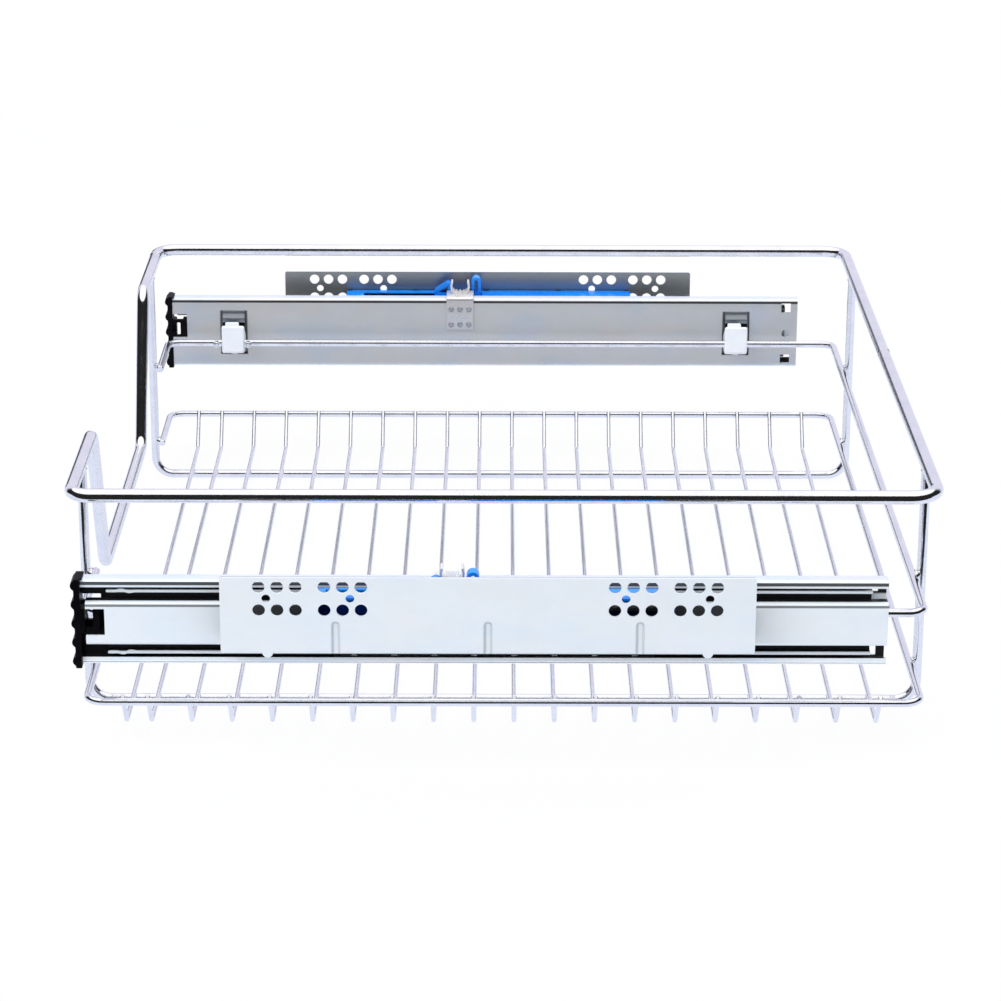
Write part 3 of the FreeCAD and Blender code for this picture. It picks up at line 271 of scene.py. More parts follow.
def plainSteel(label, colour, roughness, scale, bands=()):
    # small turned, drawn or stamped steel pieces; bands hold a height in mm and the colour above it
    graph, skin = newGraph(label), steelSkin
    wear = graph.noise(scale, *skin["wear"])
    scratch = graph.noise(scale * skin["scratchScale"], *skin["scratch"])
    worn = rgb(*[channel * skin["worn"] for channel in colour[:3]])
    tone = graph.blend(wear.above(*skin["wearEdge"]), colour, worn)
    if bands:
        z = graph.axes()[2]
        for startZ, bandColour in bands:
            tone = graph.blend(z.above(startZ * mm, skin["bandSoft"]), tone, bandColour)
    height = scratch * skin["scratchRelief"] + wear * skin["wearRelief"]
    return graph.surface({
        "Base Color": tone,
        "Metallic": 1.0,
        "Roughness": wear * skin["wearRough"] + scratch * skin["scratchRough"] + roughness,
        "Normal": graph.bump(height, skin["relief"], skin["depth"])})


plasticSkin = {"flow": (60, 3.0, 0.5), "texture": (2.0, 0.5), "marks": (260, 5.0, 0.7, (1, 0.3, 1)),
               "flowEdge": (0.5, 0.5), "flowRough": 0.08, "marksEdge": (0.62, 0.12), "marksRough": 0.12,
               "textureRelief": 0.7, "marksRelief": 0.3, "depth": 0.3 * mm, "deepSoft": 0.8 * mm, "ior": 1.49}


def mouldedPlastic(label, look):
    # moulded plastic: flow shading, a fine spark-eroded grain, and handling marks; where given, painted shade
    # below a height
    graph, skin = newGraph(label), plasticSkin
    flow, marks = graph.noise(*skin["flow"]), graph.noise(*skin["marks"])
    texture = graph.noise(look["grainScale"], *skin["texture"])
    tone = graph.blend(flow.above(*skin["flowEdge"]), look["colour"], look["shade"])
    # painted shade: the plastic is painted navy below the given height
    if "shadeBelow" in look:
        colourBelow, edgeZ = look["shadeBelow"]
        tone = graph.blend(graph.axes()[2].above(edgeZ * mm, skin["deepSoft"]), colourBelow, tone)
    wear = flow * skin["flowRough"] + marks.above(*skin["marksEdge"]) * skin["marksRough"]
    height = texture * skin["textureRelief"] + marks * skin["marksRelief"]
    return graph.surface({
        "Base Color": tone,
        "Metallic": 0.0,
        "Roughness": wear + look["roughness"],
        "IOR": skin["ior"],
        "Specular IOR Level": look["gloss"],
        "Normal": graph.bump(height, look["grain"], skin["depth"])})


# the near black inside colour is painted shadow
pale, paintedShadow = rgb(0.88, 0.94, 0.99), rgb(0.02, 0.02, 0.022)
sheets = {
    # places in mm; the heights are from the slide's middle line
    # in each sheet the colour towards the basket is painted shade and the inside colour is painted shadow;
    # crease is a painted shade line, top a painted lavender shade on the top face, and foot a painted light on
    # the bottom bend
    "channel": {
        "bright": pale, "shadedSide": rgb(0.60, 0.615, 0.625), "shadedSideX": 250.7,
        "inside": paintedShadow, "insideX": (251.3, 260.0), "insideZ": (13, 21.3), "endY": -186,
        "metallic": (0.50, 0.08), "roughness": (0.26, 0.26),
        "clouds": 0.05, "tints": 0.55, "specks": 0.06, "relief": 0.03,
        "creaseShade": (19.7, 21.1, 0.90), "top": (22.3, rgb(0.80, 0.79, 0.86)), "foot": (-20.4, 0.18)},
    "middleRail": {
        "bright": pale, "shadedSide": rgb(0.24, 0.245, 0.25), "shadedSideX": 254.0,
        "inside": paintedShadow, "insideX": (254.0, 257.6), "insideZ": (6.5, 20),
        "metallic": (0.80, 0.20), "roughness": (0.26, 0.22),
        "clouds": 0.06, "tints": 0.2, "specks": 0.08, "relief": 0.10},
    "innerRail": {
        "bright": pale, "shadedSide": rgb(0.06, 0.06, 0.062), "shadedSideX": 255.0,
        "inside": paintedShadow, "insideX": (255.0, 259.6),
        "metallic": (0.70, 0.05), "roughness": (0.26, 0.26),
        "clouds": 0.03, "tints": 0.25, "specks": 0.05, "relief": 0.05, "creaseShade": (9.2, 10.4, 0.75)},
    "plate": {
        "bright": pale, "shadedSide": rgb(0.36, 0.37, 0.37), "shadedSideX": 281.2,
        "inside": rgb(0.26, 0.27, 0.28), "insideX": (262.0, 264.6),
        "metallic": (0.80, 0.05), "roughness": (0.22, 0.30),
        "clouds": 0.03, "tints": 0.25, "specks": 0.06, "relief": 0.04,
        "ribs": {"middleY": -8.3, "spacing": 74.6, "topZ": 82.3, "halfWidth": 1.7, "soft": 1.2,
                 "wallIn": 0.6, "wallOut": 0.5, "shade": 0.20, "relief": 0.9, "depth": 0.5}},
    "actuator": {
        "bright": rgb(0.90, 0.91, 0.93), "shadedSide": rgb(0.68, 0.70, 0.73), "shadedSideX": 249.4,
        "metallic": (0.75, 0.45), "roughness": (0.20, 0.22),
        "clouds": 0.10, "tints": 0.9, "specks": 0.10, "relief": 0.16},
}
# painted shade on the spring clips: darker from 70 mm up, near black from 80.4 mm, mid grey from 82.6 mm
clipShadeBands = ((70, rgb(0.13, 0.13, 0.115)), (80.4, rgb(0.01, 0.01, 0.01)), (82.6, rgb(0.34, 0.37, 0.40)))
steels = {
    # colour, roughness, size of the wear pattern, bands
    "rivet": (rgb(0.62, 0.63, 0.66), 0.28, 300),
    "cage": (rgb(0.50, 0.52, 0.56), 0.32, 260),
    "ball": (rgb(0.80, 0.80, 0.83), 0.06, 700),
    "spring": (rgb(0.72, 0.76, 0.84), 0.20, 240),
    "clip": (rgb(0.90, 0.93, 0.98), 0.26, 240, clipShadeBands),
    "dimple": (rgb(0.66, 0.66, 0.70), 0.10, 700),
    "damper": (rgb(0.55, 0.57, 0.60), 0.22, 280),
}
plastics = {
    # the blue's navy below 94.2 mm is painted shade
    "blue": {"colour": rgb(0.002, 0.30, 1.0), "shade": rgb(0.001, 0.24, 0.95), "roughness": 0.20,
             "grainScale": 1400, "grain": 0.10, "gloss": 0.5, "shadeBelow": (rgb(0.001, 0.028, 0.20), 94.2)},
    "black": {"colour": rgb(0.0025, 0.002, 0.003), "shade": rgb(0.005, 0.004, 0.006), "roughness": 0.34,
              "grainScale": 1600, "grain": 0.16, "gloss": 0.06},
    "white": {"colour": rgb(0.87, 0.90, 0.94), "shade": rgb(0.82, 0.86, 0.92), "roughness": 0.32,
              "grainScale": 1500, "grain": 0.10, "gloss": 0.5},
}
finishes = {"chrome": chromeWire()}
finishes |= {name: steelSheet(f"{name}Steel", look) for name, look in sheets.items()}
finishes |= {name: plainSteel(f"{name}Steel", *look) for name, look in steels.items()}
finishes |= {name: mouldedPlastic(f"{name}Plastic", look) for name, look in plastics.items()}
print("materials ready")


limits = {
    # merging distances in metres, and angles in degrees
    "merge": 1e-6, "mergeCad": 2e-6, "flat": 1.5, "smooth": 32, "bevel": 40,
}


def clearSelection():
    if bpy.context.object and bpy.context.object.mode != "OBJECT":
        bpy.ops.object.mode_set(mode="OBJECT")
    bpy.ops.object.select_all(action="DESELECT")


def takeUp(piece):
    clearSelection()
    piece.select_set(True)
    bpy.context.view_layer.objects.active = piece


def reopen(piece):
    takeUp(piece)
    bpy.ops.object.mode_set(mode="EDIT")


def openPiece(label, mesh=None):
    # an object at the origin, open in edit mode
    piece = bpy.data.objects.new(label, mesh or bpy.data.meshes.new(label))
    scene.collection.objects.link(piece)
    reopen(piece)
    return piece


def closePiece(piece, angle=limits["smooth"]):
    # cap open ends, turn the faces outwards and smooth what is meant to be round
    bpy.ops.mesh.select_all(action="SELECT")
    bpy.ops.mesh.remove_doubles(threshold=limits["merge"])
    bpy.ops.mesh.fill_holes(sides=0)
    bpy.ops.mesh.normals_make_consistent(inside=False)
    bpy.ops.object.mode_set(mode="OBJECT")
    bpy.ops.object.shade_smooth_by_angle(angle=math.radians(angle))
    return piece


def finishPiece(piece, body, finish, nodes=()):
    piece.data.materials.clear()
    piece.data.materials.append(finishes[finish])
    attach(piece, body)
    if nodes:
        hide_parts(*nodes)


def finishWire(piece, *nodes):
    finishPiece(piece, "basket", "chrome", nodes)


def applyModifier(piece, kind, **settings):
    takeUp(piece)
    modifier = piece.modifiers.new(kind.title(), kind)
    for name, value in settings.items():
        setattr(modifier, name, value)
    bpy.ops.object.modifier_apply(modifier=modifier.name)


def easeEdges(piece, edge, segments=2, angle=limits["bevel"]):
    # round the edges that are sharper than the angle, and keep flat faces flat in the shading
    takeUp(piece)
    bpy.ops.object.shade_smooth_by_angle(angle=math.radians(limits["smooth"]))
    if edge:
        applyModifier(piece, "BEVEL", width=edge, segments=segments, limit_method="ANGLE",
                      angle_limit=math.radians(angle), use_clamp_overlap=True, harden_normals=True)
    return piece


def block(label, low, high):
    # a box between two corners, in mm, open in edit mode
    low, high = Vector(low) * mm, Vector(high) * mm
    piece = openPiece(label)
    bpy.ops.mesh.primitive_cube_add(size=1, location=(low + high) / 2, scale=high - low)
    return piece


def cutAway(point, normal):
    # cut the open piece flat, and drop what lies on the normal's side
    bpy.ops.mesh.select_all(action="SELECT")
    bpy.ops.mesh.bisect(plane_co=Vector(point) * mm, plane_no=Vector(normal).normalized(), use_fill=True,
                        clear_outer=True, threshold=limits["merge"])


def copyNode(node, label, edge=0.0):
    # a merged copy of a CAD node, with its sharp edges eased
    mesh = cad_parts[node].data.copy()
    mesh.name = label
    piece = openPiece(label, mesh)
    if mesh.has_custom_normals:
        bpy.ops.mesh.customdata_custom_splitnormals_clear()
    bpy.ops.mesh.select_all(action="SELECT")
    bpy.ops.mesh.remove_doubles(threshold=limits["mergeCad"])
    bpy.ops.mesh.dissolve_limited(angle_limit=math.radians(limits["flat"]))
    return easeEdges(piece, edge)


def towards(heading):
    return heading.to_track_quat("Z", "Y").to_euler()


def sweep(points, radii, chamfer, steps=10):
    # draw the selected ring along the points, rounding each corner by its radius
    heading = (points[1] - points[0]).normalized()
    place = points[0] + heading * chamfer
    for corner, after, bend in zip(points[1:], points[2:], radii):
        onward = (after - corner).normalized()
        reach = bend * math.tan(heading.angle(onward) / 2)
        bendStart = corner - heading * reach
        bpy.ops.mesh.extrude_region_move(TRANSFORM_OT_translate={"value": bendStart - place})
        axis = heading.cross(onward).normalized()
        centre = bendStart + axis.cross(heading) * bend
        bpy.ops.mesh.spin(steps=steps, angle=-heading.angle(onward), center=centre, axis=axis)
        place, heading = corner + onward * reach, onward
    end = points[-1] - heading * chamfer
    bpy.ops.mesh.extrude_region_move(TRANSFORM_OT_translate={"value": end - place})
    return heading


def bendStrip(label, corners, radii, width, thickness, edge, widthAlongX=True):
    # flat strip that starts upwards, with its width along X or along Y; all in mm
    points = [Vector(corner) * mm for corner in corners]
    piece = openPiece(label)
    bpy.ops.mesh.primitive_plane_add(size=1, location=points[0])
    section = (width * mm, thickness * mm, 1) if widthAlongX else (thickness * mm, width * mm, 1)
    bpy.ops.transform.resize(value=section, center_override=points[0])
    bpy.ops.mesh.delete(type="ONLY_FACE")
    bpy.ops.mesh.select_all(action="SELECT")
    sweep(points, [bend * mm for bend in radii], 0)
    closePiece(piece)
    return easeEdges(piece, edge * mm, angle=60)


endChamfer = 0.22  # on a cut wire, as a share of its radius


def bendWire(label, corners, radii, radius, closed=False, sides=32, steps=10):
    # rod along corners, each rounded by its own radius
    points = [Vector(corner) for corner in corners]
    piece = openPiece(label)
    heading = (points[1] - points[0]).normalized()
    chamfer = 0 if closed else radius * endChamfer
    bpy.ops.mesh.primitive_circle_add(vertices=sides, radius=radius - chamfer, fill_type="NOTHING",
                                      location=points[0], rotation=towards(heading))
    if chamfer:
        bpy.ops.mesh.extrude_region_move(TRANSFORM_OT_translate={"value": heading * chamfer})
        swell = radius / (radius - chamfer)
        bpy.ops.transform.resize(value=(swell,) * 3, center_override=points[0] + heading * chamfer)
    heading = sweep(points, radii, chamfer, steps)
    if chamfer:
        bpy.ops.mesh.extrude_region_move(TRANSFORM_OT_translate={"value": heading * chamfer})
        bpy.ops.transform.resize(value=((radius - chamfer) / radius,) * 3, center_override=points[-1])
    return closePiece(piece, angle=40)


def ring(label, centre, axis, major, minor, steps=28, sides=10):
    # a bead of round section that runs round an axis
    centre, axis = Vector(centre), Vector(axis)
    outward = axis.orthogonal().normalized()
    piece = openPiece(label)
    bpy.ops.mesh.primitive_circle_add(vertices=sides, radius=minor, fill_type="NOTHING",
                                      location=centre + outward * major,
                                      rotation=towards(axis.cross(outward)))
    bpy.ops.mesh.spin(steps=steps, angle=math.tau, center=centre, axis=axis)
    return closePiece(piece, angle=60)


def copyMoved(piece, label, matrix):
    # a copy with its own mesh, moved in the mesh
    twin = bpy.data.objects.new(label, piece.data.copy())
    twin.data.transform(matrix)
    if matrix.determinant() < 0:
        twin.data.flip_normals()
    scene.collection.objects.link(twin)
    return twin


def joinPieces(pieces, label):
    clearSelection()
    for piece in pieces:
        piece.select_set(True)
    bpy.context.view_layer.objects.active = pieces[0]
    bpy.ops.object.join()
    pieces[0].name = pieces[0].data.name = label
    return pieces[0]


def mirrored(piece, label):
    return copyMoved(piece, label, Matrix.Scale(-1, 4, (1, 0, 0)))


basket = {
    "topRadius": 3.5 * mm, "topZ": 133.5 * mm, "topX": 236.5 * mm, "frontY": 216.5 * mm,
    "topBend": 14 * mm, "tightBend": 10 * mm, "dipBend": 11 * mm,
    "dipTopX": 138 * mm, "dipLowX": 99.5 * mm, "dipZ": 47.1 * mm,
    "bandRadius": 2.2 * mm, "bandX": 237 * mm, "bandY": 211.75 * mm, "bandZ": 72.2 * mm, "bandBend": 8 * mm,
    "edgeRadius": 2 * mm, "edgeX": 239.5 * mm, "edgeY": 211.95 * mm, "edgeZ": 24 * mm, "edgeBend": 9 * mm,
    "returnX": 179 * mm,
    "frameRadius": 2.5 * mm, "frameX": 183 * mm, "frameTop": 129.95 * mm, "frameBend": 11 * mm,
}


def makeTopRail():
    x, y, z = basket["topX"], basket["frontY"], basket["topZ"]
    dipTopX, dipLowX, dipZ = basket["dipTopX"], basket["dipLowX"], basket["dipZ"]
    loop = [(0, y, z), (x, y, z), (x, -y, z), (dipTopX, -y, z), (dipLowX, -y, dipZ),
            (-dipLowX, -y, dipZ), (-dipTopX, -y, z), (-x, -y, z), (-x, y, z), (0, y, z)]
    bends = [basket["topBend"], basket["tightBend"]] + [basket["dipBend"]] * 4 + [basket["topBend"]] * 2
    rail = bendWire("topRail", loop, bends, basket["topRadius"], closed=True, sides=48, steps=14)
    finishWire(rail, "top_rail")


def makeSideRail(label, node, kind):
    # a U round the basket's back and sides, with short returns at the front
    x, y, z, bend, radius = (basket[f"{kind}{value}"] for value in ("X", "Y", "Z", "Bend", "Radius"))
    back = basket["returnX"]
    path = [(back, -y, z), (x, -y, z), (x, y, z), (-x, y, z), (-x, -y, z), (-back, -y, z)]
    rail = bendWire(label, path, [bend] * 4, radius, sides=36)
    finishWire(rail, node)


def makeSupportFrames():
    # both stand on the ground, so the foot's middle line is its own radius high
    x, y, top, radius = (basket[name] for name in ("frameX", "frontY", "frameTop", "frameRadius"))
    path = [(x, -y, top), (x, -y, radius), (x, y, radius), (x, y, top)]
    right = bendWire("supportFrameRight", path, [basket["frameBend"]] * 2, radius, sides=36)
    left = mirrored(right, "supportFrameLeft")
    finishWire(right, "support_frame_right")
    finishWire(left, "support_frame_left")


floorGrid = {"radius": 1.25 * mm, "z": 6.3 * mm, "lowX": 221.5 * mm, "tip": (237.6 * mm, 26.4 * mm),
             "bend": 4 * mm, "backY": 192.35 * mm, "pitch": 20.67 * mm, "evenWires": 19,
             "firstY": -193.5 * mm, "skew": math.radians(-0.27)}


def makeFloorWires():
    # all but the first wire stand slightly askew; gives back each wire's place and turn
    (tipX, tipZ), lowX, z = floorGrid["tip"], floorGrid["lowX"], floorGrid["z"]
    path = [(-tipX, 0, tipZ), (-lowX, 0, z), (lowX, 0, z), (tipX, 0, tipZ)]
    model = bendWire("floorWires", path, [floorGrid["bend"]] * 2, floorGrid["radius"], sides=20, steps=6)
    backY, pitch, count = floorGrid["backY"], floorGrid["pitch"], floorGrid["evenWires"]
    places = [backY - pitch * step for step in range(count)] + [floorGrid["firstY"]]
    turned = [floorGrid["skew"]] * count + [0.0]
    wires = [copyMoved(model, "wireCopy", Matrix.Translation((0, y, 0)) @ Matrix.Rotation(turn, 4, "Z"))
             for y, turn in zip(places, turned)]
    bpy.data.objects.remove(model)
    finishWire(joinPieces(wires, "floorWires"), "floor_wires")
    return list(zip(places, turned))


pegs = {
    "radius": 2 * mm, "footX": 234.75 * mm, "reach": 3.6 * mm, "ys": (-180.8 * mm, -160.8 * mm),
    "z": 72.2 * mm,
    # the rounded head's length, and its rings: how far on, and how wide, all as shares of the radius
    "headLength": 0.6, "head": ((0.30, 0.92), (0.20, 0.72), (0.02, 0.52), (-0.30, 0.38)),
}


def makeClipPegs():
    # short studs with domed heads
    made, radius = [], pegs["radius"]
    rings = [(pegs["reach"] - radius * pegs["headLength"], 1)]
    rings += [(radius * run, share) for run, share in pegs["head"]]
    for side in (1, -1):
        for y in pegs["ys"]:
            place, inward, last = Vector((side * pegs["footX"], y, pegs["z"])), Vector((-side, 0, 0)), 1
            peg = openPiece("peg")
            bpy.ops.mesh.primitive_circle_add(vertices=32, radius=radius, fill_type="NOTHING", location=place,
                                              rotation=towards(inward))
            for run, share in rings:
                place = place + inward * run
                bpy.ops.mesh.extrude_region_move(TRANSFORM_OT_translate={"value": inward * run})
                bpy.ops.transform.resize(value=(share / last,) * 3, center_override=place)
                last = share
            made.append(closePiece(peg, angle=50))
    finishWire(joinPieces(made, "clipPegs"), "clip_pegs")


def blob(label, centre, size, sides=14, rings=8):
    # a weld bead: a ball drawn out to its size; in mm
    centre = Vector(centre) * mm
    bead = openPiece(label)
    bpy.ops.mesh.primitive_uv_sphere_add(segments=sides, ring_count=rings, radius=1, location=centre)
    bpy.ops.transform.resize(value=Vector(size) * mm, center_override=centre)
    return closePiece(bead, angle=60)


frameWelds = [
    # height and Y of the joint in the basket's values, how much further out in Y, and the beads: a place
    # (outwards in X, up) and a size; in mm
    ("frameTop", "frontY", -0.3, [((0, -0.4), (2.7, 2.7, 1.8)), ((-2.6, 1.0), (1.5, 1.6, 1.1))]),
    ("bandZ", "bandY", 2.2, [((0, 0), (2.9, 1.8, 2.7)), ((-2.2, 1.6), (1.3, 1.1, 1.2))]),
    ("edgeZ", "edgeY", 2.0, [((0, 0), (2.7, 1.7, 2.5)), ((2.0, 1.5), (1.2, 1.0, 1.1))]),
]
# in mm: where each floor wire crosses the frames, and where its tip meets the edge rail
wireWelds = {"crossingZ": 5.0, "crossing": (1.9, 1.25, 0.8), "tip": (237, 25), "tipSize": (1.0, 1.3, 1.6)}


def makeWelds(wires):
    # fused metal where wires cross
    beads, frameX, (tipX, tipZ) = [], basket["frameX"] / mm, wireWelds["tip"]
    onWires = ((frameX, wireWelds["crossingZ"], wireWelds["crossing"]), (tipX, tipZ, wireWelds["tipSize"]))
    for side in (1, -1):
        for end in (1, -1):
            for height, depth, shift, parts in frameWelds:
                y, z = end * (basket[depth] / mm + shift), basket[height] / mm
                for (out, up), size in parts:
                    beads.append(blob("weld", (side * (frameX + out), y, z + up), size))
        for y, turn in wires:
            for fromMiddle, z, size in onWires:
                x = side * fromMiddle
                beads.append(blob("weld", (x, y / mm + x * turn, z), size, sides=10, rings=6))
    finishWire(joinPieces(beads, "weldBeads"))


seams = {"radius": 3.3 * mm, "bead": 0.42 * mm, "places": ((-12 * mm, 1), (-219 * mm, -1))}


def makeSeams():
    # butt welds that close the top rail's loop, flush with its top and its outer sides
    made = []
    highZ, outerY = ((basket[middle] + basket["topRadius"]) / mm for middle in ("topZ", "frontY"))
    for x, end in seams["places"]:
        centre = (x, end * basket["frontY"], basket["topZ"])
        seam = ring("seam", centre, (1, 0, 0), seams["radius"], seams["bead"], steps=36)
        reopen(seam)
        cutAway((0, 0, highZ), (0, 0, 1))
        cutAway((0, outerY, 0), (0, 1, 0))
        cutAway((0, -outerY, 0), (0, -1, 0))
        made.append(closePiece(seam, angle=60))
    finishWire(joinPieces(made, "railSeams"))


makeTopRail()
makeSeams()
makeSideRail("middleSideRail", "middle_side_rail", "band")
makeSideRail("floorEdgeRail", "floor_edge_rail", "edge")
makeSupportFrames()
makeWelds(makeFloorWires())
makeClipPegs()
print("basket wires ready")


sidePieces = [
    # CAD node, piece, body, slot, finish, eased edge in mm
    ("outer_channel", "outerChannel", "basket", "zinc_steel", "channel", 0.22),
    ("inner_rail", "innerRail", "cabinet_side", "zinc_steel", "innerRail", 0.2),
    ("bracket_plate", "bracketPlate", "cabinet_side", "plate_steel", "plate", 0.25),
    ("soft_close_housing", "softCloseHousing", "cabinet_side", "blue_plastic", "blue", 0.45),
    ("spring_clips", "springClips", "basket", "spring_steel", "clip", 0.18),
    ("rail_rivets", "railRivets", "cabinet_side", "rivet_steel", "rivet", 0.3),
    ("outer_ball_cage", "outerBallCage", "outer_cage", "cage_steel", "cage", 0.1),
    ("inner_ball_cage", "innerBallCage", "inner_cage", "cage_steel", "cage", 0.1),
    ("outer_balls", "outerBalls", "outer_cage", "ball_steel", "ball", 0),
    ("inner_balls", "innerBalls", "inner_cage", "ball_steel", "ball", 0),
    ("damper_cylinder", "damperCylinder", "cabinet_side", "damper_steel", "damper", 0.3),
    ("damper_rod", "damperRod", "catch", "damper_steel", "damper", 0.15),
    ("closing_spring", "closingSpring", "cabinet_side", "spring_steel", "spring", 0.1),
]
sharedBodies = {"basket", "cabinet_side"}


clipTip = {"startZ": 65.5, "share": 0.5}


def shortenTips(clips):
    # the clip's pointed tip below the sleeve is shallow
    reopen(clips)
    mesh = bmesh.from_edit_mesh(clips.data)
    for vertex in mesh.verts:
        vertex.select_set(vertex.co.z < clipTip["startZ"] * mm)
    mesh.select_flush(True)
    bpy.ops.transform.resize(value=(1, 1, clipTip["share"]), center_override=(0, 0, clipTip["startZ"] * mm))
    bpy.ops.object.mode_set(mode="OBJECT")


def bothSides(model, label, node, body, finish):
    # the right-hand piece and its mirror image on the left; node is empty for trim with no CAD piece
    twin = mirrored(model, f"{label}Left")
    model.name = model.data.name = f"{label}Right"
    for piece, side in ((model, "right"), (twin, "left")):
        rides = body if body in sharedBodies else f"{body}_{side}"
        finishPiece(piece, rides, finish, [f"{node}_{side}"] if node else ())


def joinBothSides(made, label, node, body, finish):
    bothSides(joinPieces(made, label), label, node, body, finish)


def copySidePieces():
    for node, label, body, slot, finish, edge in sidePieces:
        piece = copyNode(f"{node}_right", label, edge * mm)
        if node == "spring_clips":
            shortenTips(piece)
        bothSides(piece, label, node, body, finish)


# in mm; the crimp holds places along Y and how far the lip is lifted there
railLip = {"railEdge": 0.2, "x": 258.8, "rise": 16.2, "radius": 0.8, "bend": 3, "ends": (-197, 182),
           "crimp": ((-192.5, 0), (-189.6, 0.8), (-186.2, -0.5), (-183, 0))}


def makeMiddleRails():
    # both lips are rolled, with a crimp near the front that keeps the ball cages on
    made = [copyNode("middle_rail_right", "middleRail", railLip["railEdge"] * mm)]
    x, rise, (front, back) = railLip["x"], railLip["rise"], railLip["ends"]
    line = [(front, 0), *railLip["crimp"], (back, 0)]
    bends = [railLip["bend"] * mm] * 4
    for side in (1, -1):
        corners = [Vector((x, y, slideMiddle + side * (rise + lift))) * mm for y, lift in line]
        made.append(bendWire("lip", corners, bends, railLip["radius"] * mm, sides=14, steps=4))
    joinBothSides(made, "middleRail", "middle_rail", "middle_rail", "middleRail")


sleeve = {
    # in mm
    "frontX": 233.7, "backX": 247.8, "lowZ": 65.9, "highZ": 83.9, "halfLength": 7.2, "ys": (-170.4, 149.9),
    "shoulderX": 235.4, "slope": (0.56, 0, 0.83), "toeZ": 66.6, "toe": (-0.45, 0, -1), "edge": 1.6,
    "ridge": ((239.2, -5.2, 78.0), (242.4, 3.4, 84.6)), "ridgeEdge": 0.9,
}


def makeSleeves():
    # white blocks on the rail; the top falls away towards the channel
    made, half = [], sleeve["halfLength"]
    frontX, backX, lowZ, highZ = (sleeve[name] for name in ("frontX", "backX", "lowZ", "highZ"))
    for y in sleeve["ys"]:
        piece = block("sleeve", (frontX, y - half, lowZ), (backX, y + half, highZ))
        cutAway((sleeve["shoulderX"], y, highZ), sleeve["slope"])
        cutAway((frontX, y, sleeve["toeZ"]), sleeve["toe"])
        made.append(easeEdges(piece, sleeve["edge"] * mm, segments=4))
        low, high = (Vector(corner) + Vector((0, y, 0)) for corner in sleeve["ridge"])
        made.append(easeEdges(block("ridge", low, high), sleeve["ridgeEdge"] * mm, segments=3))
    joinBothSides(made, "railSleeves", "rail_sleeves", "basket", "white")


cover = {
    # in mm
    "x": (277.5, 279.0), "z": (68.5, 95.6), "y": (-99.3, 83.7), "topBand": 3.2, "lowBand": 4, "edge": 0.35,
    "bars": (-55, -9, 37), "bar": 4,
}


def makeCovers():
    # an open frame: the damper and the spring show dimly between its bars
    (lowX, highX), (lowZ, highZ), (front, back) = cover["x"], cover["z"], cover["y"]
    made, bar = [], cover["bar"]
    bands = [(front, highZ - cover["topBand"], back, highZ), (front, lowZ, back, lowZ + cover["lowBand"]),
             (front, lowZ, front + bar, highZ), (back - bar, lowZ, back, highZ)]
    bands += [(y - bar / 2, lowZ, y + bar / 2, highZ) for y in cover["bars"]]
    for startY, startZ, endY, endZ in bands:
        piece = block("band", (lowX, startY, startZ), (highX, endY, endZ))
        made.append(easeEdges(piece, cover["edge"] * mm))
    joinBothSides(made, "softCloseCover", "soft_close_cover", "cabinet_side", "blue")


catch = {
    # in mm
    "x": 270.6, "width": 6.8, "base": 97.5, "root": 96.5, "wall": 2, "edge": 0.35, "blockEdge": 0.3,
    "hookYs": (-17.8, -13.6), "hookTop": 106.3, "hookBends": [2.05, 2.05],
    "rampYs": (-41.6, -32.7), "rampFootZ": 97.8, "rampTop": 103.6, "rampBends": [0.8, 1.1],
}


def makeCatches():
    # the CAD block with a round-topped hook and a slanted ramp on it
    body = copyNode("soft_close_catch_right", "catchBlock")
    reopen(body)
    cutAway((0, 0, catch["base"]), (0, 0, 1))
    easeEdges(body, catch["blockEdge"] * mm)
    root, (near, far), (foot, head) = catch["root"], catch["hookYs"], catch["rampYs"]
    hook = [(near, root), (near, catch["hookTop"]), (far, catch["hookTop"]), (far, root)]
    ramp = [(foot, root), (foot, catch["rampFootZ"]), (head, catch["rampTop"]), (head, root)]
    made, section = [body], (catch["width"], catch["wall"], catch["edge"])
    for label, outline in (("hook", hook), ("ramp", ramp)):
        corners = [(catch["x"], y, z) for y, z in outline]
        made.append(bendStrip(label, corners, catch[f"{label}Bends"], *section))
    joinBothSides(made, "softCloseCatch", "soft_close_catch", "catch", "blue")


actuator = {
    # in mm; an ear's points say how far out they are from the bracket's middle, and how high
    "middleY": -26, "width": 17.3, "gauge": 1.2, "plateX": 249.6, "lowZ": 77.6, "topZ": 98.4,
    "reachX": 266.4, "bend": 1.6, "edge": 0.3, "earX": 262.4, "earLength": 8,
    "ear": [(3.2, 98.0), (3.2, 98.9), (5.2, 100.8), (5.7, 103.6), (5.0, 106.4)], "earBends": [1.0, 2.0, 2.4],
    "beads": (-2.3, 0, 2.3), "beadRadius": 0.8, "beadX": (251.2, 266.0), "beadZ": 99.1,
    "columns": (-5.6, 0, 5.6), "rows": (80.9, 90.9), "ring": 1.35, "ringBead": 0.55,
    "nugget": (0.35, 0.55, 0.55),
}


def makeActuators():
    # folded plate with two bowed ears and three beads between them
    middle, gauge, edge = actuator["middleY"], actuator["gauge"], actuator["edge"]
    plateX, topZ = actuator["plateX"], actuator["topZ"]
    fold = [(plateX, middle, actuator["lowZ"]), (plateX, middle, topZ), (actuator["reachX"], middle, topZ)]
    made = [bendStrip("fold", fold, [actuator["bend"]], actuator["width"], gauge, edge, widthAlongX=False)]
    for side in (1, -1):
        bow = [(actuator["earX"], middle + side * out, z) for out, z in actuator["ear"]]
        made.append(bendStrip("ear", bow, actuator["earBends"], actuator["earLength"], gauge, edge))
    for offset in actuator["beads"]:
        line = [Vector((x, middle + offset, actuator["beadZ"])) * mm for x in actuator["beadX"]]
        made.append(bendWire("bead", line, [], actuator["beadRadius"] * mm, sides=16))
    joinBothSides(made, "actuatorBracket", "actuator_bracket", "basket", "actuator")


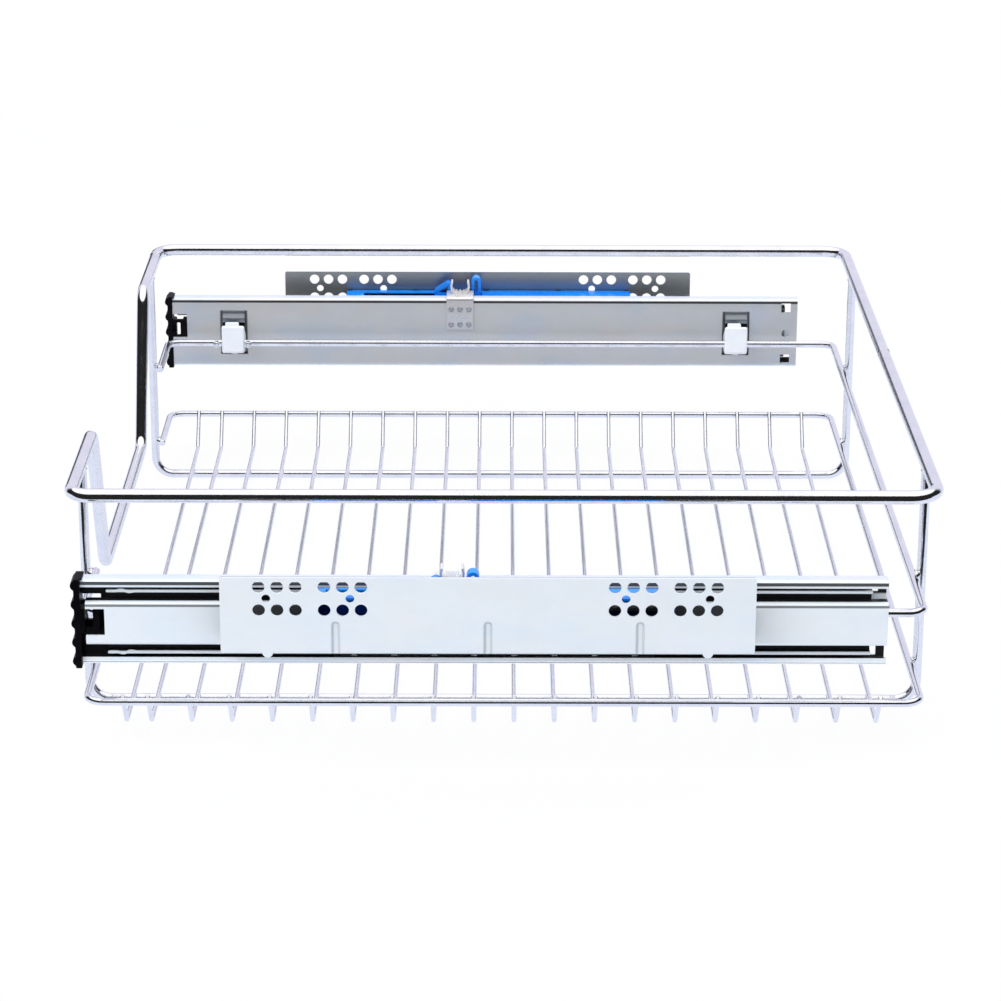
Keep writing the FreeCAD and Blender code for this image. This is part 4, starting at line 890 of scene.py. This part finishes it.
def makeWeldDimples():
    # six projection welds: a raised ring round a small nugget
    made, faceX = [], actuator["plateX"] - actuator["gauge"] / 2
    radius, bead = actuator["ring"] * mm, actuator["ringBead"] * mm
    for z in actuator["rows"]:
        for offset in actuator["columns"]:
            centre = (faceX, actuator["middleY"] + offset, z)
            made.append(ring("dimple", Vector(centre) * mm, (1, 0, 0), radius, bead, steps=24, sides=8))
            made.append(blob("nugget", centre, actuator["nugget"]))
    joinBothSides(made, "weldDimples", "", "basket", "dimple")


endCap = {
    # in mm, apart from the smoothing's strength and its rounds
    "slits": [((249.0, -207.6, 73.5), (252.5, -205.1, 81.8)), ((252.4, -208, 68), (264, -204, 85))],
    "cell": 0.3, "softness": 0.5, "rounds": 12,
}


def makeEndCaps():
    # moulded in one, with a slit beside the tongue's bar; everything on it is softly rounded
    cap = copyNode("end_cap_right", "endCap")
    for low, high in endCap["slits"]:
        slit = block("capSlit", low, high)
        bpy.ops.object.mode_set(mode="OBJECT")
        applyModifier(cap, "BOOLEAN", object=slit, operation="DIFFERENCE", solver="EXACT")
        bpy.data.objects.remove(slit)
    applyModifier(cap, "REMESH", mode="VOXEL", voxel_size=endCap["cell"] * mm)
    applyModifier(cap, "SMOOTH", factor=endCap["softness"], iterations=endCap["rounds"])
    takeUp(cap)
    bpy.ops.object.shade_smooth()
    bothSides(cap, "endCap", "end_cap", "basket", "black")


copySidePieces()
makeMiddleRails()
makeSleeves()
makeCovers()
makeCatches()
makeActuators()
makeWeldDimples()
makeEndCaps()
print("side pieces ready")


studio = {
    "floorZ": -0.0002, "floorLow": (-1.2, -1.6), "floorHigh": (0.36, 1.6),
    "floorColour": rgb(0.82, 0.82, 0.84), "floorWhite": 0.93, "floorGlossy": rgb(0.80, 0.85, 0.98),
    # what metal sees: a room that is dark behind the camera, and pale overhead and beyond, with a dark opening
    "dark": (0.015,) * 3, "overhead": (1.15,) * 3, "overheadEdge": (0.63, 0.05),
    "far": (0.78, 0.77, 0.90), "farEdge": (0.55, 0.30),
    "openingY": -0.32, "openingWidth": (0.24, 0.10), "openingTop": (0.14, 0.10), "openingDepth": 0.92,
    "fill": (rgb(0.80, 0.82, 0.86), 0.95),
}


def makeFloor():
    # the camera sees it nearly white, with the object's shadow; metal sees a pale table
    (lowX, lowY), (highX, highY) = studio["floorLow"], studio["floorHigh"]
    middle = ((lowX + highX) / 2, (lowY + highY) / 2, studio["floorZ"])
    floor = openPiece("studioFloor")
    bpy.ops.mesh.primitive_plane_add(size=1, location=middle)
    bpy.ops.transform.resize(value=(highX - lowX, highY - lowY, 1), center_override=middle)
    bpy.ops.object.mode_set(mode="OBJECT")
    graph = newGraph("studioFloor")
    camera, glossy = graph.rays("Camera", "Glossy")
    matte = graph.add("ShaderNodeBsdfDiffuse", {}, {"Color": studio["floorColour"]})
    white = graph.add("ShaderNodeEmission", {}, {"Color": rgb(1, 1, 1), "Strength": 1.0})
    sheen = graph.add("ShaderNodeEmission", {}, {"Color": studio["floorGlossy"], "Strength": 1.0})
    seen = graph.add("ShaderNodeMixShader", {}, {0: camera * studio["floorWhite"], 1: matte, 2: white})
    mixed = graph.add("ShaderNodeMixShader", {}, {0: glossy, 1: seen, 2: sheen})
    graph.add("ShaderNodeOutputMaterial", {}, {"Surface": mixed})
    floor.data.materials.append(graph.owner)


def makeWorld():
    # white to the camera, the room to metal, and an even fill to everything else
    world = bpy.data.worlds.new("studioWorld")
    scene.world = world
    graph = Graph(world)
    camera, glossy, transmission = graph.rays("Camera", "Glossy", "Transmission")
    x, y, z = graph.axes("Generated")
    halfWidth, sideSoft = studio["openingWidth"]
    opening = 1 - abs(y - studio["openingY"]).above(halfWidth, sideSoft)
    opening = opening * (1 - z.above(*studio["openingTop"]))
    far = graph.shade(studio["far"], 1 - opening * studio["openingDepth"])
    room = graph.blend((0 - x).above(*studio["farEdge"]), rgb(*studio["dark"]), far)
    room = graph.blend(z.above(*studio["overheadEdge"]), room, rgb(*studio["overhead"]))
    fillColour, fillStrength = studio["fill"]
    plain = graph.add("ShaderNodeBackground", {}, {"Color": fillColour, "Strength": fillStrength})
    mirror = graph.add("ShaderNodeBackground", {}, {"Color": room, "Strength": 1.0})
    white = graph.add("ShaderNodeBackground", {}, {"Color": rgb(1, 1, 1), "Strength": 1.0})
    lit = graph.add("ShaderNodeMixShader", {}, {0: glossy, 1: plain, 2: mirror})
    seen = graph.add("ShaderNodeMixShader", {}, {0: camera.larger(transmission), 1: lit, 2: white})
    graph.add("ShaderNodeOutputWorld", {}, {"Surface": seen})


lamps = {
    # place, size and power
    "softLampFront": ((0.9, -0.9, 1.6), 1.2, 19),
    "softLampBack": ((-0.7, 0.8, 1.7), 1.4, 16.5),
}
lampTarget = Vector((0, 0, 0.05))


def makeLamps():
    # square lamps that metal doesn't mirror
    for label, (place, size, power) in lamps.items():
        lamp = bpy.data.lights.new(label, "AREA")
        lamp.shape, lamp.size, lamp.energy = "SQUARE", size, power
        lampObject = bpy.data.objects.new(label, lamp)
        scene.collection.objects.link(lampObject)
        lampObject.location = place
        lampObject.rotation_euler = towards(Vector(place) - lampTarget)
        lampObject.visible_glossy = False


view = {"place": (1.79394, -0.01032, 0.67533), "lens": 119.31, "sensor": 36.0, "clip": (0.05, 50),
        "elevation": 19.25, "yaw": -0.300, "roll": 0.225}


def makeCamera():
    # the photograph's view: it looks along -X and down, and is rolled a little
    lens = bpy.data.cameras.new("photoView")
    lens.lens, lens.sensor_width, lens.sensor_fit = view["lens"], view["sensor"], "HORIZONTAL"
    lens.clip_start, lens.clip_end = view["clip"]
    camera = bpy.data.objects.new("photoView", lens)
    scene.collection.objects.link(camera)
    down, yaw, roll = (math.radians(view[key]) for key in ("elevation", "yaw", "roll"))
    ahead = Vector((-math.cos(down) * math.cos(yaw), -math.cos(down) * math.sin(yaw), -math.sin(down)))
    right = Vector((-math.sin(yaw), math.cos(yaw), 0))
    up = right.cross(ahead)
    turnedRight = right * math.cos(roll) + up * math.sin(roll)
    turnedUp = up * math.cos(roll) - right * math.sin(roll)
    cameraMatrix = Matrix((turnedRight, turnedUp, -ahead)).transposed().to_4x4()
    cameraMatrix.translation = Vector(view["place"])
    camera.matrix_world = cameraMatrix
    scene.camera = camera


makeFloor()
makeWorld()
makeLamps()
makeCamera()
scene.view_settings.view_transform = "Standard"
print("studio ready")

clearSelection()
